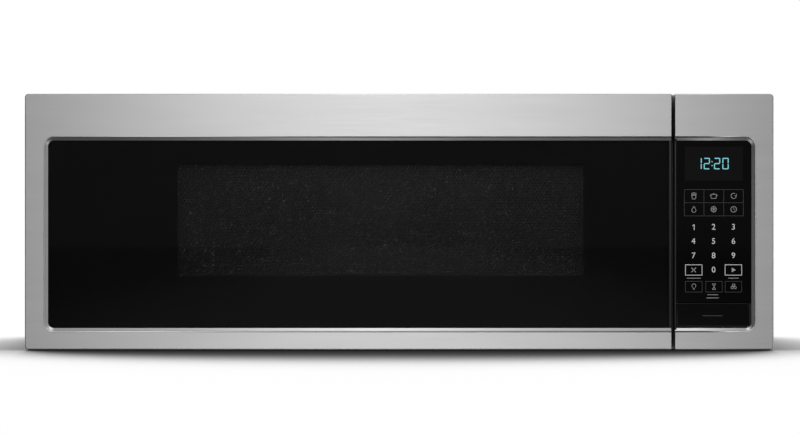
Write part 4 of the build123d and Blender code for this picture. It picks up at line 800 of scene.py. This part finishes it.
mid_ink, tree, own, surface = new_material("screen_printed_mid_grey_ink", "9A9A9A", Roughness=0.5)
screening = node(tree, "TexNoise", links={"Vector": own, "Scale": 900.0}).outputs[0]
node(tree, "Mix", as_colour,
     {share: screening, tint_a: linear("8C8C8C"), tint_b: linear("A8A8A8")},
     {mixed: surface["Base Color"]})
sign_x = (0.2990, 0.3191, 0.3394)
upper_z, lower_z, stop_z, low_z = 0.1563, 0.1427, 0.0812, 0.0642
pen, fine_pen, bold_pen = 0.00042, 0.0004, 0.0007
signs = bmesh.new()

# popcorn: an open bag with three popped kernels
bag = (sign_x[0], upper_z)
lines(signs, bag, pen, ((-2.2, 0.6), (-1.6, -3.2), (1.6, -3.2), (2.2, 0.6), (-2.2, 0.6)))
for x, z in ((-1.5, 1.9), (0.0, 2.5), (1.5, 1.9)):
    arc(signs, (bag[0] + x / 1000, bag[1] + z / 1000), radius=0.0009, width=pen)
# cook: a pot with its lid and two handles
lines(signs, (sign_x[1], upper_z), pen, ((-2.6, 0.9), (-2.6, -2.6), (2.6, -2.6), (2.6, 0.9)),
      ((-3.2, 1.5), (3.2, 1.5)), ((-0.6, 2.4), (0.6, 2.4)), ((-3.9, 0.2), (-2.9, 0.2)),
      ((2.9, 0.2), (3.9, 0.2)))
# reheat: an arrow that runs round
arc(signs, (sign_x[2], upper_z), radius=0.0027, width=pen, start=60.0, turn=290.0)
lines(signs, (sign_x[2], upper_z), pen, ((2.9, 1.8), (2.6, -0.5), (0.9, 0.5)))
# soften and melt: a drop
arc(signs, (sign_x[0], lower_z - 0.001), radius=0.0021, width=pen, start=150.0, turn=240.0)
lines(signs, (sign_x[0], lower_z), pen, ((-1.8, 0.1), (0.0, 3.2), (1.8, 0.1)))
# defrost: a snow crystal with a barb at the end of each arm
crystal = (sign_x[1], lower_z)
arm = 3.0
for angle in (30, 90, 150):
    x, z = arm * math.cos(math.radians(angle)), arm * math.sin(math.radians(angle))
    lines(signs, crystal, pen, ((-x, -z), (x, z)))
for angle in range(30, 390, 60):
    barb = [(r * math.cos(math.radians(angle + a)), r * math.sin(math.radians(angle + a)))
            for r, a in ((2.9, 24), (1.9, 0), (2.9, -24))]
    lines(signs, crystal, fine_pen, barb)
# power and time: a clock face
arc(signs, (sign_x[2], lower_z), radius=0.0029, width=pen)
lines(signs, (sign_x[2], lower_z), pen, ((0.0, 1.9), (0.0, 0.0), (1.3, -0.9)))
# stop: a cross; start: a triangle
lines(signs, (sign_x[0] - 0.0002, stop_z), bold_pen, ((-2.0, -2.0), (2.0, 2.0)),
      ((-2.0, 2.0), (2.0, -2.0)))
dot(signs, (sign_x[2] - 0.0006, stop_z), radius=0.0027, segments=3, turn=-90.0)
# light: a bulb
arc(signs, (sign_x[0], low_z + 0.0008), radius=0.0020, width=pen, start=-55.0, turn=290.0)
lines(signs, (sign_x[0], low_z), pen, ((-0.8, -1.6), (0.8, -1.6)), ((-0.6, -2.6), (0.6, -2.6)))
# timer: a sand glass
lines(signs, (sign_x[1] + 0.0003, low_z), pen,
      ((-1.7, 2.8), (1.7, 2.8), (-1.7, -2.8), (1.7, -2.8), (-1.7, 2.8)))
# fan: three blades round a hub
blade_reach, blade_radius, hub_radius = 0.0017, 0.0012, 0.0006
for angle in (90, 210, 330):
    x, z = math.cos(math.radians(angle)), math.sin(math.radians(angle))
    arc(signs, (sign_x[2] + blade_reach * x, low_z + blade_reach * z), blade_radius, pen)
dot(signs, (sign_x[2], low_z), hub_radius)
# the small notes under the keys, as plain bars
notes = ((0.2989, 0.0728, 0.0135), (0.3391, 0.0728, 0.0100), (0.3181, 0.0560, 0.0100),
         (0.3181, 0.0528, 0.0120))
note_line = 0.0005
for centre, z, length in notes:
    stroke(signs, (centre - length / 2, z), (centre + length / 2, z), note_line)
finished(signs, "keypad_signs", mid_ink, "case")


# Door button. Gloss black ABS, polished in the mould and hung in the panel housing. A small raised
# bead round its face catches a thin line of light, and a faint dash marks where to press.
gloss_abs, tree, own, surface = new_material("polished_black_abs", "060606", Roughness=0.12,
                                             IOR=1.53)
flow = node(tree, "TexNoise", links={"Vector": own, "Scale": 30.0}).outputs[0]
node(tree, "Mix", as_colour, {share: flow, tint_a: linear("040404"), tint_b: linear("080808")},
     {mixed: surface["Base Color"]})
dress(gloss_abs, "door_open_button")
button_low, button_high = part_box("door_open_button")
bead_radius, bead_thickness = 0.0015, 0.0001
bead_steps = ((0.0, 0.0), (0.0004, 0.00035), (0.0010, 0.0))
edge_bead = bmesh.new()
bead = terraced(edge_bead, (button_low[0], button_high[0]), (button_low[2], button_high[2]),
                bead_radius, [(inset, button_low[1] - rise) for inset, rise in bead_steps])
thicken(edge_bead, bead, bead_thickness)
finished(edge_bead, "button_edge_bead", gloss_abs, "button")
mark_x, mark_z, mark_radius = (0.3078, 0.3282), (0.0343, 0.0351), 0.0003
mark_depth = print_depth + 0.00002
mark = bmesh.new()
thicken(mark, outline(mark, mark_x, mark_z, mark_radius, button_low[1] - print_depth, segments=3),
        mark_depth)
finished(mark, "button_mark", dim_ink, "button")
